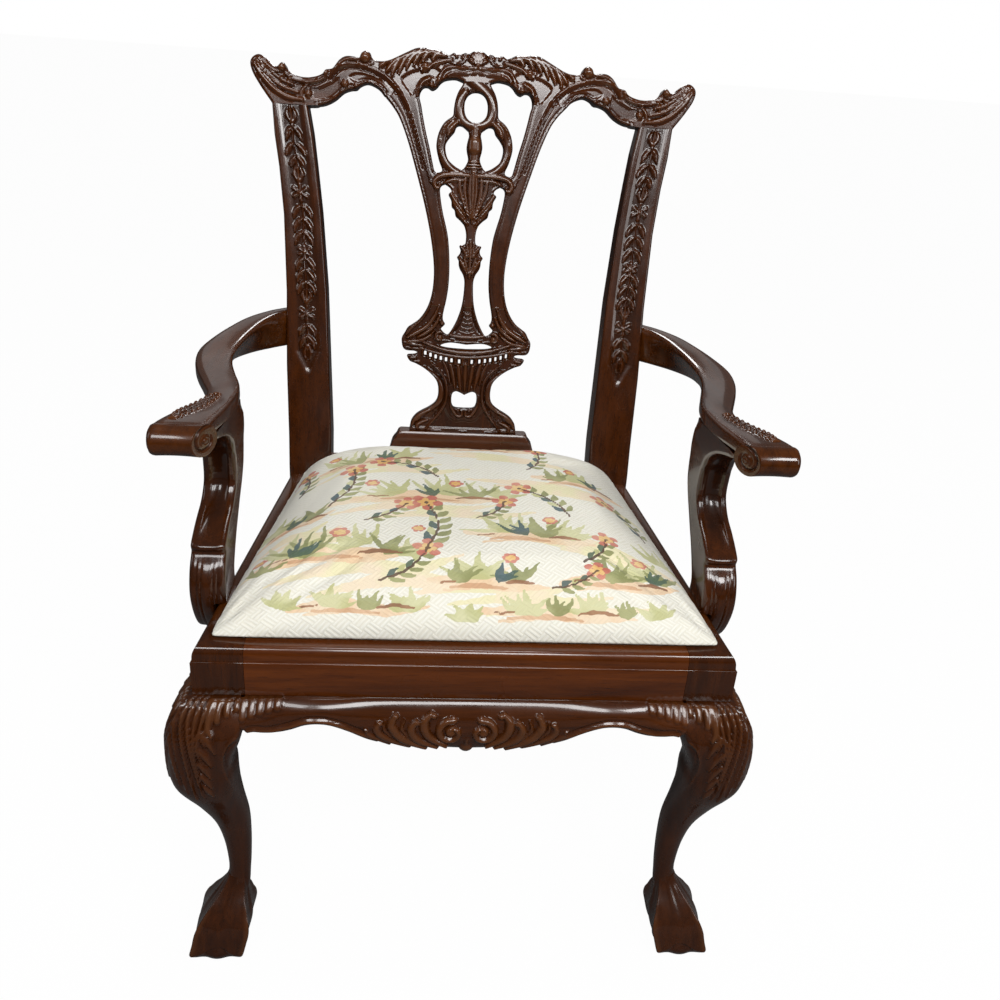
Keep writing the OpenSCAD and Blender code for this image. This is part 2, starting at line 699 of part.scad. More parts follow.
function support_z(z) = rail_bottom + (z - drawn_rail_bottom)
    * (arm_under(tenon_y) - rail_bottom) / (drawn_support_top - drawn_rail_bottom);
function support_view(p) = [for (q = p) [q[0] + half_front - drawn_half_front, support_z(q[1])]];

module arm_support_right() color(mahogany) placed() {
    side = concat(curve(support_front, 2), curve(support_back, 2));
    under = [for (y = [60 : 20 : 200]) [y * deep, arm_under(y * deep) - grain_gap]];
    front = [for (q = curve(support_front, 2)) [q[0] * deep,
             min(support_z(q[1]), arm_under(q[0] * deep) - grain_gap)]];
    back = [for (q = curve(support_back, 2)) [q[0] * deep,
            min(support_z(q[1]), arm_under(q[0] * deep) - grain_gap)]];
    difference() {
        intersection() {
            translate([half_front - 60, 0, 0]) rotate([90, 0, 90]) linear_extrude(90)
                polygon(concat(front, under, back));
            translate([0, seat_depth, 0]) rotate([90, 0, 0]) linear_extrude(seat_depth)
                polygon(concat(curve(support_view(support_outer), 2),
                               reversed(curve(support_view(support_inner), 2))));
        }
        on_side() translate([-2 * rail_thickness, 0, 0])
            cube([2 * rail_thickness + grain_gap, seat_depth, rim_height + grain_gap]);
        support_screws_right(fit);
    }
    translate([tenon_x, tenon_y, arm_under(tenon_y) - 4])
        cylinder(r = arm_tenon_radius, h = arm_tenon_length + 4);
}
module arm_support_left() { left_of() arm_support_right(); }

// ---- Corner blocks and screws ------------------------------------------------------------------

module corner_block_pair() {
    clear = leg_block + touch;
    inner = rear_rail_half + touch;
    difference() {
        translate([0, 0, rail_bottom + 4]) linear_extrude(ledge_height - rail_bottom - 12) {
            polygon([
                [half_front - clear, rail_thickness + grain_gap],
                [half_front - 104, rail_thickness + grain_gap],
                [side_x(112, rail_thickness + grain_gap), 112],
                [side_x(clear, rail_thickness + grain_gap), clear], [half_front - clear, clear]
            ]);
            back = seat_depth - (rail_thickness - rim_inset) - grain_gap;
            polygon([
                [inner - 50, back],
                [side_x(rear_block_reach * deep, rail_thickness + grain_gap),
                 rear_block_reach * deep],
                [side_x(seat_depth, rail_thickness + grain_gap), seat_depth - grain_gap],
                [inner, seat_depth - grain_gap], [inner, back]
            ]);
        }
        block_screws(fit);
    }
}

module corner_blocks() color(beech) placed() {
    for (s = [0, 1]) mirror([s, 0, 0]) corner_block_pair();
}
module corner_block_screws() color(steel) placed() {
    for (s = [0, 1]) mirror([s, 0, 0]) block_screws();
}
module support_screws() color(steel) placed() {
    for (s = [0, 1]) mirror([s, 0, 0]) support_screws_right();
}
module arm_screws() color(steel) placed() {
    for (s = [0, 1]) mirror([s, 0, 0]) arm_screw_right();
}
module screw_plugs() color(dark_mahogany) placed() {
    for (s = [0, 1]) mirror([s, 0, 0])
        translate([post_inner(arm_screw_z), arm_screw_y, arm_screw_z]) rotate([0, 90, 0])
            cylinder(r = head_radius + 1.5 - fit, h = plug_length);
}

// ---- Drop-in seat ------------------------------------------------------------------------------

slip_front = rim_inset + seat_gap;
slip_back = seat_depth - seat_gap;
slip_bottom = ledge_height + touch;
slip_top = slip_bottom + slip_rail_thickness;
web_top = slip_top + 2 * web_thickness;
hessian_thickness = 0.7;
pad_bottom = web_top + hessian_thickness;
pad_ease = 0.8;
slip_tenon = 24;
slip_tenon_thickness = 6;

// Edge of the drop-in seat, moved in by d, at distance y behind the front rail's face
function slip_x(y, d = 0) = side_x(y, rim_inset + seat_gap + d);

module slip_shape(y0, y1, d = 0) {
    polygon([[-slip_x(y0, d), y0], [slip_x(y0, d), y0], [slip_x(y1, d), y1], [-slip_x(y1, d), y1]]);
}

module slip_tenons(grow = 0) {
    d0 = cover_thickness + slip_rail_width / 4 - grow;
    d1 = cover_thickness + 3 * slip_rail_width / 4 + grow;
    y0 = slip_front + cover_thickness + slip_rail_width - slip_tenon - grow;
    y1 = slip_back - cover_thickness - slip_rail_width + slip_tenon + grow;
    translate([0, 0, (slip_bottom + slip_top - slip_tenon_thickness) / 2 - grow])
        linear_extrude(slip_tenon_thickness + 2 * grow)
            polygon([[slip_x(y0, d0), y0], [slip_x(y1, d0), y1], [slip_x(y1, d1), y1],
                     [slip_x(y0, d1), y0]]);
}

module slip_cross_rail(y0, y1) color(beech) placed() {
    difference() {
        translate([0, 0, slip_bottom]) linear_extrude(slip_rail_thickness)
            slip_shape(y0, y1, cover_thickness + grain_gap);
        for (s = [0, 1]) mirror([s, 0, 0]) slip_tenons(fit);
    }
}
module slip_front_rail() {
    slip_cross_rail(slip_front + cover_thickness + grain_gap,
                    slip_front + cover_thickness + slip_rail_width);
}
module slip_rear_rail() {
    slip_cross_rail(slip_back - cover_thickness - slip_rail_width,
                    slip_back - cover_thickness - grain_gap);
}
module slip_side_rail_right() color(beech) placed() {
    y0 = slip_front + cover_thickness + slip_rail_width + grain_gap;
    y1 = slip_back - cover_thickness - slip_rail_width - grain_gap;
    d0 = cover_thickness + grain_gap;
    d1 = cover_thickness + slip_rail_width;
    translate([0, 0, slip_bottom]) linear_extrude(slip_rail_thickness)
        polygon([[slip_x(y0, d0), y0], [slip_x(y1, d0), y1], [slip_x(y1, d1), y1],
                 [slip_x(y0, d1), y0]]);
    slip_tenons();
}
module slip_side_rail_left() { left_of() slip_side_rail_right(); }

web_edge = 8;
module webbing_crosswise() color("#c9b48c") placed() {
    for (k = [1 : 3]) let (y = slip_front + (slip_back - slip_front) * k / 4)
        translate([0, 0, slip_top]) linear_extrude(web_thickness)
            slip_shape(y - web_width / 2, y + web_width / 2, web_edge);
}
module webbing_lengthwise() color("#c9b48c") placed() {
    for (k = [-1.5 : 1 : 1.5])
        translate([k * 2 * web_width - web_width / 2, slip_front + web_edge,
                   slip_top + web_thickness])
            cube([web_width, slip_back - slip_front - 2 * web_edge, web_thickness]);
}
module hessian() color("#b79b6c") placed() {
    translate([0, 0, web_top]) linear_extrude(hessian_thickness)
        slip_shape(slip_front + 6, slip_back - 6, 6);
}

// Share of the pad's height at a place across (u) and along (v), each from -1 to 1
function fullness(u, v) = pow(1 - pow(abs(u), 4), 1 / 2)
    * (v < 0 ? pow(1 - pow(-v, 5), 1 / 2.5) : pow(1 - pow(v, 14), 1 / 5));
pad_side_points = 8;
pad_scales = [1, 0.985, 0.95, 0.89, 0.78, 0.6, 0.35];

// Ring of the pad at a share s of the way out, drawn in by d
function pad_ring(s, d, base = -1) = [
    for (side = [0 : 3]) for (k = [0 : pad_side_points - 1]) let (
        t = 2 * k / pad_side_points - 1,
        p = [[t, -1], [1, t], [-t, 1], [-1, -t]][side], u = p[0] * s, v = p[1] * s,
        y = slip_front + d + (v + 1) / 2 * (slip_back - slip_front - 2 * d))
        [u * slip_x(y, d), y, base > 0 ? base : rim_height - d + pad_crown * fullness(u, v)]
];

// Rings from the edge to the flat crown
function pad_dome(d) = concat([for (s = pad_scales) pad_ring(s, d)],
                              [pad_ring(0.1, d, rim_height - d + pad_crown)]);

module seat_pad() color("#e8e0cc") placed() {
    inset = cover_thickness + pad_ease;
    loft(concat([pad_ring(1, inset, pad_bottom)], pad_dome(inset)));
}
module seat_cover() color("#e6dfc8") placed() {
    difference() {
        loft(concat([pad_ring(1, 0, slip_bottom)], pad_dome(0)));
        loft(concat([pad_ring(1, cover_thickness, slip_bottom - 1)], pad_dome(cover_thickness)));
    }
}
module dust_cover() color("#1c1b1a") placed() {
    thickness = 0.7;
    inset = rail_thickness + 1;
    back = seat_depth - (rail_thickness - rim_inset) - 1;
    notch = leg_block + 1;
    half = [[half_front - notch, inset], [half_front - notch, notch], [side_x(notch, inset), notch],
            [side_x(back, inset), back]];
    translate([0, 0, slip_bottom - thickness]) linear_extrude(thickness)
        polygon(concat(half, mirrored(half)));
}

rear_post_left();
rear_post_right();
crest_rail();
splat();
shoe();
rear_rail();
side_rail_left();
side_rail_right();
front_rail();
front_apron();
knee_bracket_left();
knee_bracket_right();
front_leg_left();
front_leg_right();
arm_left();
arm_right();
arm_support_left();
arm_support_right();
corner_blocks();
corner_block_screws();
support_screws();
arm_screws();
screw_plugs();
slip_front_rail();
slip_rear_rail();
slip_side_rail_left();
slip_side_rail_right();
webbing_lengthwise();
webbing_crosswise();
hessian();
seat_pad();
seat_cover();
dust_cover();
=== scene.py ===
import math
import bmesh
import bpy
import numpy as np
from mathutils import Matrix, Vector
from mathutils.geometry import delaunay_2d_cdt


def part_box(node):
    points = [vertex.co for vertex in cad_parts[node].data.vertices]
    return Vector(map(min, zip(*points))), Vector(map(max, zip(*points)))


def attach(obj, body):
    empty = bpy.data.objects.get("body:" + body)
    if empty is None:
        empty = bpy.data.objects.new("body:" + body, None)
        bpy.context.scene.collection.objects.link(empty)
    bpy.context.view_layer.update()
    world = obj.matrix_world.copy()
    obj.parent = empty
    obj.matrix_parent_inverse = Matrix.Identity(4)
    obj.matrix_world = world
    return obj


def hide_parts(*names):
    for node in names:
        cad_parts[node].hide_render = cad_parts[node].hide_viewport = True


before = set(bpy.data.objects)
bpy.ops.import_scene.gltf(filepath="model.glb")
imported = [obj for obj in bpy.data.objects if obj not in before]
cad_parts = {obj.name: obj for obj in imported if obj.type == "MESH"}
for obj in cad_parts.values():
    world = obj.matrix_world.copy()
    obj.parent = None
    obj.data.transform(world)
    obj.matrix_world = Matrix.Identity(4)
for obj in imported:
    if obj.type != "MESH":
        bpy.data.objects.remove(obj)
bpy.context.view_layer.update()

# ---- Back posts ------------------------------------------------------------------------------
# Two long mahogany posts, sawn to a curve, raked at the foot and leaning back above the seat.
# A shallow bed is cut down the face of each and a trailing vine of husks, leaf tips and small
# flowers is left standing in it; the rest is planed, scraped and French polished.

front_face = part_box("front_rail")[0][1] * 1000      # the maker's mm run back from this face
chair_top = 1018
rail_top = 445              # top of the rails round the loose seat
rail_low = 386              # underside of the rails
half_front = 294            # half the front's width
block_side = 55             # the square block over each front leg
ledge_height = 424          # the loose seat rests here
leg_middle = half_front - block_side / 2


def curve(points, steps=4):
    """A smooth line through the points."""
    p = np.array(points, float)
    p = np.vstack([2 * p[:1] - p[1:2], p, 2 * p[-1:] - p[-2:-1]])
    t = (np.arange(steps) / steps)[:, None]
    runs = []
    for a, b, c, d in zip(p[:-3], p[1:-2], p[2:-1], p[3:]):
        runs.append(0.5 * (2 * b + (c - a) * t + (2 * a - 5 * b + 4 * c - d) * t ** 2
                           + (3 * b - a - 3 * c + d) * t ** 3))
    return np.vstack(runs + [p[-2:-1]])


def new_piece(name, points, faces, body="frame", relief=None, crisp=40):
    """A piece from points in the maker's mm; relief marks hollows below 0, which the wood paints darker as
    dirt and painted shade, and ridges above.
    """
    mesh = bpy.data.meshes.new(name)
    where = (np.asarray(points, float) + (0, front_face, 0)) / 1000
    mesh.from_pydata(where.tolist(), [], [tuple(int(i) for i in f) for f in faces])
    if relief is not None:
        mark = mesh.attributes.new("relief", "FLOAT", "POINT")
        mark.data.foreach_set("value", np.clip(relief, -1, 1).astype(np.float32))
    work = bmesh.new()
    work.from_mesh(mesh)
    bmesh.ops.recalc_face_normals(work, faces=work.faces)
    work.to_mesh(mesh)
    work.free()
    mesh.shade_smooth()
    mesh.set_sharp_from_angle(angle=math.radians(crisp))
    piece = bpy.data.objects.new(name, mesh)
    bpy.context.scene.collection.objects.link(piece)
    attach(piece, body)
    return piece


def skin(rings, ends=True):
    """Points and faces of a form drawn over closed rings of one count."""
    n = len(rings[0])
    faces = []
    for k in range(len(rings) - 1):
        for i in range(n):
            j = (i + 1) % n
            faces.append((k * n + i, k * n + j, (k + 1) * n + j, (k + 1) * n + i))
    points = np.concatenate(rings)
    if ends:
        for ring, first in ((rings[0], 0), (rings[-1], (len(rings) - 1) * n)):
            points = np.vstack([points, np.mean(ring, 0)])
            for i in range(n):
                faces.append((first + i, first + (i + 1) % n, len(points) - 1))
    return points, faces


def bar_ring(x0, x1, y0, y1, r, across=4, deep=3):
    """A rectangle with rounded corners, its front edge first, from x0 to x1."""
    turn = np.radians(np.arange(15, 90, 20))
    xs = np.linspace(x0 + r, x1 - r, across + 1)
    ys = np.linspace(y0 + r, y1 - r, deep + 1)
    run = [np.column_stack([xs, 0 * xs + y0]),
           np.column_stack([x1 - r + r * np.sin(turn), y0 + r - r * np.cos(turn)]),
           np.column_stack([0 * ys + x1, ys]),
           np.column_stack([x1 - r + r * np.cos(turn), y1 - r + r * np.sin(turn)]),
           np.column_stack([xs[::-1], 0 * xs + y1]),
           np.column_stack([x0 + r - r * np.sin(turn), y1 - r + r * np.cos(turn)]),
           np.column_stack([0 * ys + x0, ys[::-1]]),
           np.column_stack([x0 + r - r * np.cos(turn), y0 + r - r * np.sin(turn)])]
    return np.vstack(run)


def soft_step(v, low, high):
    """A smooth rise from 0 to 1 as v goes from low to high."""
    t = np.clip((v - low) / (high - low), 0, 1)
    return t * t * (3 - 2 * t)


def carve(u, v, strokes, round_over=0.7):
    """Height of carved strokes at places u, v: each has its line, widths and rise."""
    high = np.zeros(len(u))
    low = np.zeros(len(u))
    for line, widths, rise in strokes:
        path = curve(line, 5) if len(line) > 2 else np.array(line, float)
        size = np.interp(np.linspace(0, 1, len(path)), np.linspace(0, 1, len(widths)), widths)
        reach = size.max()
        near = np.nonzero((u > path[:, 0].min() - reach) & (u < path[:, 0].max() + reach)
                          & (v > path[:, 1].min() - reach) & (v < path[:, 1].max() + reach))[0]
        if not near.size:
            continue
        best = np.zeros(near.size)
        for a, b, wa, wb in zip(path[:-1], path[1:], size[:-1], size[1:]):
            step = b - a
            long = max(step @ step, 1e-9)
            t = np.clip(((u[near] - a[0]) * step[0] + (v[near] - a[1]) * step[1]) / long, 0, 1)
            off = (u[near] - a[0] - t * step[0]) ** 2 + (v[near] - a[1] - t * step[1]) ** 2
            best = np.maximum(best, 1 - off / (wa + t * (wb - wa)) ** 2)
        h = rise * best ** round_over
        if rise > 0:
            high[near] = np.maximum(high[near], h)
        else:
            low[near] = np.minimum(low[near], h)
    return high + low


def both(strokes):
    """The strokes and their likeness on the other side of the middle."""
    return strokes + [([(-a, b) for a, b in line], w, h) for line, w, h in strokes]


def boss(x, z, r, rise):
    """A round knob."""
    return ([(x - 0.01, z), (x + 0.01, z)], [r, r], rise)


def volute(x, z, r, start, turns, width, rise, hand=1):
    """A ridge that curls in to its eye."""
    line = []
    for k in range(int(abs(turns) * 10) + 1):
        share = k / (abs(turns) * 10)
        a = math.radians(start) + hand * share * turns * 2 * math.pi
        here = r * (1 - 0.78 * share)
        line.append((x + here * math.cos(a), z + here * math.sin(a)))
    return (line, [width, width * 0.8, width * 0.55], rise)


def fill(tree, node, sockets):
    """Give each named socket of a node its value, or join it to another node's output."""
    for key, value in sockets.items():
        socket = node.inputs[key]
        if isinstance(value, bpy.types.NodeSocket):
            tree.links.new(value, socket)
        elif socket.type == "RGBA" and len(value) == 3:
            socket.default_value = (*value, 1)
        else:
            socket.default_value = value


def put(tree, kind, sockets, **settings):
    """A new node of a finish."""
    node = tree.nodes.new("ShaderNode" + kind)
    for key, value in settings.items():
        setattr(node, key, value)
    fill(tree, node, sockets)
    return node


def new_finish(name):
    """An empty finish: itself, its tree, its main shader and the place on the piece."""
    finish = bpy.data.materials.new(name)
    finish.use_nodes = True
    tree = finish.node_tree
    place = put(tree, "TexCoord", {}).outputs["Object"]
    return finish, tree, tree.nodes["Principled BSDF"], place


def noise(tree, place, scale, detail=2.0, rough=0.5, warp=0.0):
    """An uneven amount over the piece."""
    return put(tree, "TexNoise", {"Vector": place, "Scale": scale, "Detail": detail,
                                  "Roughness": rough, "Distortion": warp}).outputs["Fac"]


def ramp(tree, amount, *stops):
    """A colour by amount, from stops of position and colour."""
    band = put(tree, "ValToRGB", {"Fac": amount})
    elements = band.color_ramp.elements
    while len(elements) < len(stops):
        elements.new(0.5)
    for element, (at, colour) in zip(elements, stops):
        element.position = at
        element.color = (*colour, 1)
    return band.outputs["Color"]


def spread(tree, amount, a0, a1, b0, b1):
    """The amount carried from the range a0 to a1 over to b0 to b1."""
    return put(tree, "MapRange", {0: amount, 1: a0, 2: a1, 3: b0, 4: b1}).outputs[0]


def mix(tree, amount, a, b):
    """Two colours mixed."""
    return put(tree, "Mix", {0: amount, 6: a, 7: b}, data_type="RGBA").outputs[2]


def reckon(tree, operation, *values):
    """Arithmetic on amounts."""
    return put(tree, "Math", dict(enumerate(values)), operation=operation).outputs[0]


def bumps(tree, height, strength, distance, under=None):
    """The surface's normal raised by a height, over another such normal."""
    sockets = {"Height": height, "Strength": strength, "Distance": distance}
    if under is not None:
        sockets["Normal"] = under
    return put(tree, "Bump", sockets).outputs["Normal"]


def wood(name, along="Z", light=(0.150, 0.034, 0.0028), dark=(0.034, 0.0060, 0.0008),
         gloss=0.22, coat=0.6):
    """Old red-brown mahogany under shellac: grain along the piece, dirt and painted shade in the hollows,
    wear on the ridges.
    """
    finish, tree, shader, place = new_finish(name)
    stretch = {"X": (0.07, 1, 1), "Y": (1, 0.07, 1), "Z": (1, 1, 0.07)}[along]
    lay = put(tree, "Mapping", {"Vector": place, "Scale": stretch}).outputs["Vector"]
    mid = tuple(0.5 * (a + b) for a, b in zip(light, dark))
    grain = ramp(tree, noise(tree, lay, 110, 6, 0.62, 0.25), (0.33, dark), (0.5, mid), (0.67, light))
    ribbon = ramp(tree, noise(tree, lay, 16, 3, 0.5, 0.5), (0.35, tuple(0.6 * c for c in mid)),
                  (0.66, light))
    pores = noise(tree, lay, 620, 3, 0.6)
    height = put(tree, "Attribute", {}, attribute_name="relief").outputs["Fac"]
    colour = mix(tree, 0.45, grain, ribbon)
    # Hollows, marked below 0 in the relief attribute, are mixed towards near black as dirt and painted
    # shade; ridges, marked above 0, are mixed lighter as wear.
    for amount, tone in (
            (spread(tree, pores, 0.56, 0.72, 0, 0.6), tuple(0.45 * c for c in dark)),
            (spread(tree, noise(tree, place, 5), 0.35, 0.7, 0, 0.4), tuple(0.62 * c for c in light)),
            (spread(tree, height, -0.05, -0.85, 0, 0.55), (0.016, 0.0045, 0.0013)),
            (spread(tree, height, 0.25, 1.0, 0, 0.35), (0.170, 0.062, 0.020))):
        colour = mix(tree, amount, colour, tone)
    worn = noise(tree, place, 16, 4, 0.6)
    surface = bumps(tree, pores, 0.05, 0.0006)
    surface = bumps(tree, noise(tree, place, 22, 3), 0.35, 0.0012, surface)
    fill(tree, shader, {"Base Color": colour, "Normal": surface, "Specular IOR Level": 0.3,
                        "Roughness": spread(tree, worn, 0.3, 0.7, gloss - 0.06, gloss + 0.10),
                        "Coat Weight": coat, "Coat Roughness": 0.09})
    return finish


upright_wood = wood("mahogany_upright", "Z", (0.070, 0.0165, 0.0019), (0.013, 0.0028, 0.0005))
crosswise_wood = wood("mahogany_crosswise", "X")
lengthwise_wood = wood("mahogany_lengthwise", "Y", (0.092, 0.0235, 0.0028), (0.018, 0.0040, 0.0007))


def polish(piece, material):
    """Lay the polished wood on a piece."""
    piece.data.materials.clear()
    piece.data.materials.append(material)


seat_deep = 440
bend = 455
lean = 0.22
post_head = 938
post_form = [(0, 205, 243), (120, 202, 245), (250, 198, 248), (340, 195, 250), (rail_low, 192, 250),
             (bend, 190, 250), (500, 190, 250.5), (600, 194, 253.5), (700, 198, 253.5),
             (800, 206, 257), (860, 213, 263), (900, 218, 269), (post_head, 225, 272)]


def back_y(z):
    """Face of the leaning back at height z."""
    return seat_deep + lean * (z - bend)


def post_front(z):
    """The post's face at height z: raked below the rails, leaning above the bend."""
    return back_y(z) if z >= bend else seat_deep if z >= rail_low \
        else seat_deep + 60 * (1 - z / rail_low) ** 1.6


def post_thick(z):
    """How thick the post is, front to back, at height z."""
    return 46 - 10 * (1 - z / rail_low) if z < rail_low else 46 if z < bend \
        else 46 - 18 * (z - bend) / (post_head - bend)


def post_sides(z):
    """The post's inner and outer side at height z."""
    zs, inner, outer = np.array(post_form).T
    return np.interp(z, zs, inner), np.interp(z, zs, outer)


def leaf_pair(z, reach=12, drop=11, rise=3.4):
    """Two leaf tips lying out and down from the stem."""
    line = [(1.5, z + 6), (0.45 * reach, z + 3), (0.8 * reach, z - drop * 0.3), (reach, z - drop)]
    return both([(line, [1.4, 3.4, 4.0, 1.0], rise),
                 ([(2.5, z + 2), (0.6 * reach, z - 1), (0.85 * reach, z - drop * 0.7)],
                  [0.5, 0.9, 0.4], -1.0)])


def flower(z, r=8.5):
    """A small open flower of six petals round a bead."""
    petals = []
    for k in range(6):
        a = math.radians(60 * k + 30)
        petals.append(([(2.4 * math.cos(a), z + 2.4 * math.sin(a)),
                        (r * math.cos(a), z + r * math.sin(a))], [2.0, 3.2], 3.0))
    return petals + [boss(0, z, 3.2, 4.2)]


def husk(z):
    """A closed husk with a bead under it."""
    return both([([(1.5, z - 9), (5.5, z), (3.5, z + 8)], [2.2, 3.4, 1.2], 3.2)]) + \
        [([(0, z - 8), (0, z + 7)], [2.6, 1.8], 3.8), boss(0, z - 12, 2.8, 3.6)]


vine = [([(0.5, 936), (1.5, 870), (-1.0, 800), (1.0, 740), (-0.5, 690), (0, 612)],
         [1.6, 1.6, 1.5, 1.5, 1.4, 1.0], 2.0)]
vine += husk(925) + leaf_pair(904, 10) + leaf_pair(884, 13, 10) + leaf_pair(868, 9, 8)
vine += husk(852) + flower(829, 10) + leaf_pair(806) + leaf_pair(789) + leaf_pair(772)
vine += flower(753, 7.5) + leaf_pair(738) + leaf_pair(723) + leaf_pair(707) + husk(694)
vine += flower(671, 9.5) + leaf_pair(649, 11, 9) + leaf_pair(634, 10, 12)
vine += both([([(1, 628), (4.5, 618), (2, 606)], [2.2, 2.6, 0.8], 2.4)])

heights = np.concatenate([np.arange(0, rail_low, 13.0), np.arange(rail_low, 596, 8.0),
                          np.arange(596, post_head, 1.5), [post_head]])
across = 40
rings = []
marks = []
for z in heights:
    inner, outer = post_sides(z)
    face = post_front(z)
    soft = 3.5 if z > rail_low else 5
    ring = bar_ring(inner, outer, face, face + post_thick(z), soft, across, 3)
    x = ring[:across + 1, 0]
    u = x - 0.5 * (inner + outer)
    bed = 15.5 - max(0, (620 - z)) * 0.5
    depth = np.zeros(across + 1)
    if z > 594 and bed > 0:
        depth = carve(u, 0 * u + z, vine) - 1.9 * soft_step(bed + 3 - np.abs(u), 0, 8)
    depth = np.where(np.abs(u) > 0.5 * (outer - inner) - 3.6, 0, depth)
    relief = np.zeros(len(ring))
    # The bed round the vine is marked dark and its raised carving light: dirt and painted shade in the bed,
    # wear on the carving.
    relief[:across + 1] = depth / 2.4
    ring[:across + 1, 1] -= depth
    rings.append(np.column_stack([ring, 0 * ring[:, 0] + z]))
    marks.append(relief)
# The post's head is cut along the joint under the leaning crest rail
for side, word in ((1, "right"), (-1, "left")):
    points, faces = skin([r * (side, 1, 1) for r in rings])
    relief = np.concatenate(marks + [[0, 0]])
    top = points[:, 2] > post_head - 0.1
    points[top, 2] -= lean * 0.9 * np.clip(points[top, 1] - back_y(post_head), 0, 60)
    post = new_piece("post_" + word, points, faces, relief=relief)
    polish(post, upright_wood)
    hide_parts("rear_post_" + word)

# ---- Seat rails ------------------------------------------------------------------------------
# Four straight mahogany rails tenoned into the legs and posts. The front and side rails carry a
# small ovolo moulding run on the top edge, and a rebate inside it holds the drop-in seat.

splay = math.radians(5.45)


def side_x(y, inward=0.0):
    """Outer face of the side rail at y, or a line so far inside it."""
    return half_front - inward / math.cos(splay) - y * math.tan(splay)


turn = np.radians(np.linspace(0, 90, 9))
moulding = [(1.5, 386), (0.4, 386.4), (0, 387.5), (0, 427.3), (0.4, 428.1), (1.3, 428.5),
            (1.5, 429), (1.5, 430.6), (1.7, 431.2)]
moulding += list(zip(8.2 - 6.5 * np.cos(turn), 431.6 + 13.2 * np.sin(turn)))
moulding += [(9, 445), (22.4, 445), (23.4, 444.7), (24, 443.8)]
rail_section = moulding + [(24, 424.6), (24.4, 424), (37.4, 424), (38, 423.2), (38, 387),
                           (37.2, 386)]
section = np.array(rail_section)
points, faces = skin([np.column_stack([0 * section[:, 0] + x, section[:, 0], section[:, 1]])
                      for x in np.linspace(-238.8, 238.8, 25)])
front_rail = new_piece("front_seat_rail", points, faces)
polish(front_rail, crosswise_wood)
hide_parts("front_rail")

for side, word in ((1, "right"), (-1, "left")):
    rings = [np.column_stack([side * side_x(y, section[:, 0]), 0 * section[:, 0] + y, section[:, 1]])
             for y in np.linspace(55.2, 439.8, 21)]
    points, faces = skin(rings)
    side_rail = new_piece("side_seat_rail_" + word, points, faces)
    polish(side_rail, lengthwise_wood)
    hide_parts("side_rail_" + word)

rear_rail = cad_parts["rear_rail"]
polish(rear_rail, crosswise_wood)

# ---- Front legs ------------------------------------------------------------------------------
# Each front leg is one piece: a square block that takes the rails, a bold knee carved with an
# acanthus leaf beside long curved flutes, a slim ankle, and a claw that grips a ball.

leg_form = [(386, .21, 33, 6, 12), (372, .36, 36.5, 4.6, 11), (358, .5, 40, 4, 10),
            (335, .69, 40, 3.5, 5), (306, .87, 35.4, 3, 3.4), (285, .84, 35.4, 2.8, 2.9),
            (264, .74, 32.9, 2.6, 2.6), (230, .4, 25.8, 2.4, 2.4), (193, .07, 20.2, 2.3, 2.3),
            (157, -.07, 16.2, 2.2, 2.2), (122, -.1, 13.6, 2.2, 2.2), (100, -.06, 13, 2.1, 2.1),
            (82, .06, 15, 2.1, 2.1), (66, .3, 18, 2.1, 2.1)]
foot_form = [(98, 12, .5, 0), (89, 14, 1.5, .1), (79, 17.5, 3.5, .25), (70, 21.5, 5.5, .38),
             (60, 26, 8.5, .5), (50, 30, 11, .6), (38, 32.3, 11.5, .72), (24, 32, 12.5, .87),
             (13, 31.5, 12.5, 1), (7, 30.8, 8.5, 1), (3, 29.6, 4, 1), (0, 27, 0.5, 1)]


def outward_normals(rings, hand=1):
    """Unit normals of a skin's rings, each an equal number of places."""
    r = np.array(rings)
    along = np.roll(r, -1, 1) - np.roll(r, 1, 1)
    up = np.gradient(r, axis=0)
    n = np.cross(along, up) * hand
    return n / np.maximum(np.linalg.norm(n, axis=2, keepdims=True), 1e-9)


def even_ring(x, y, count):
    """The closed line x, y, with its places spaced evenly from the first one."""
    px, py = np.append(x, x[0]), np.append(y, y[0])
    run = np.append(0, np.cumsum(np.hypot(np.diff(px), np.diff(py))))
    at = np.arange(count) / count * run[-1]
    return np.interp(at, run, px), np.interp(at, run, py)


def smooth_rows(form, step):
    """Rows of a form at an even step of height, from its first row to its last."""
    rows = curve(form, 8)
    z = np.arange(form[0][0], form[-1][0] - 0.01, -step)
    order = np.argsort(rows[:, 0])
    return [(h, *[np.interp(h, rows[order, 0], rows[order, k]) for k in range(1, rows.shape[1])])
            for h in z] + [tuple(form[-1])]


# The knee's carving is drawn on its front by distance from the chair's middle and height, and
# again on its outer side: tongues under the block, then a leaf of long flutes, then a scroll
knee = [([(241, 392), (245, 385), (246, 378)], [3.4, 4.4, 3.6], 3.0),
        ([(249, 392), (255, 383), (256, 373)], [3.4, 4.6, 3.6], 3.2),
        ([(257, 392), (264, 381), (266, 367)], [3.4, 4.6, 3.8], 3.4),
        ([(265, 392), (272, 379), (275, 361), (271, 352)], [3.4, 4.8, 4.6, 2.6], 3.6)]
for top, low_x, low_z in ((259, 278, 340), (266, 283, 318), (273, 285, 294), (280, 284, 266),
                          (287, 292, 264), (294, 301, 272), (300, 308, 286)):
    down = (362 + low_z) / 2
    knee.append(([(top, 393), (top + 10, 380), (top + 16.5, 362),
                  (top + 0.75 * (low_x - top) + 8, down), (low_x, low_z)],
                 [1.6, 2.6, 2.8, 2.4, 1.0], 2.8 if top < 290 else 1.7))
for x, z, reach in ((281, 350, 13), (285, 332, 13), (286, 314, 12), (284, 297, 10),
                    (282, 281, 8)):
    knee.append(([(x, z + 5), (x - 0.5 * reach, z - 0.3 * reach), (x - reach, z - 1.4 * reach)],
                 [2.8, 4.8, 1.4], 2.7))
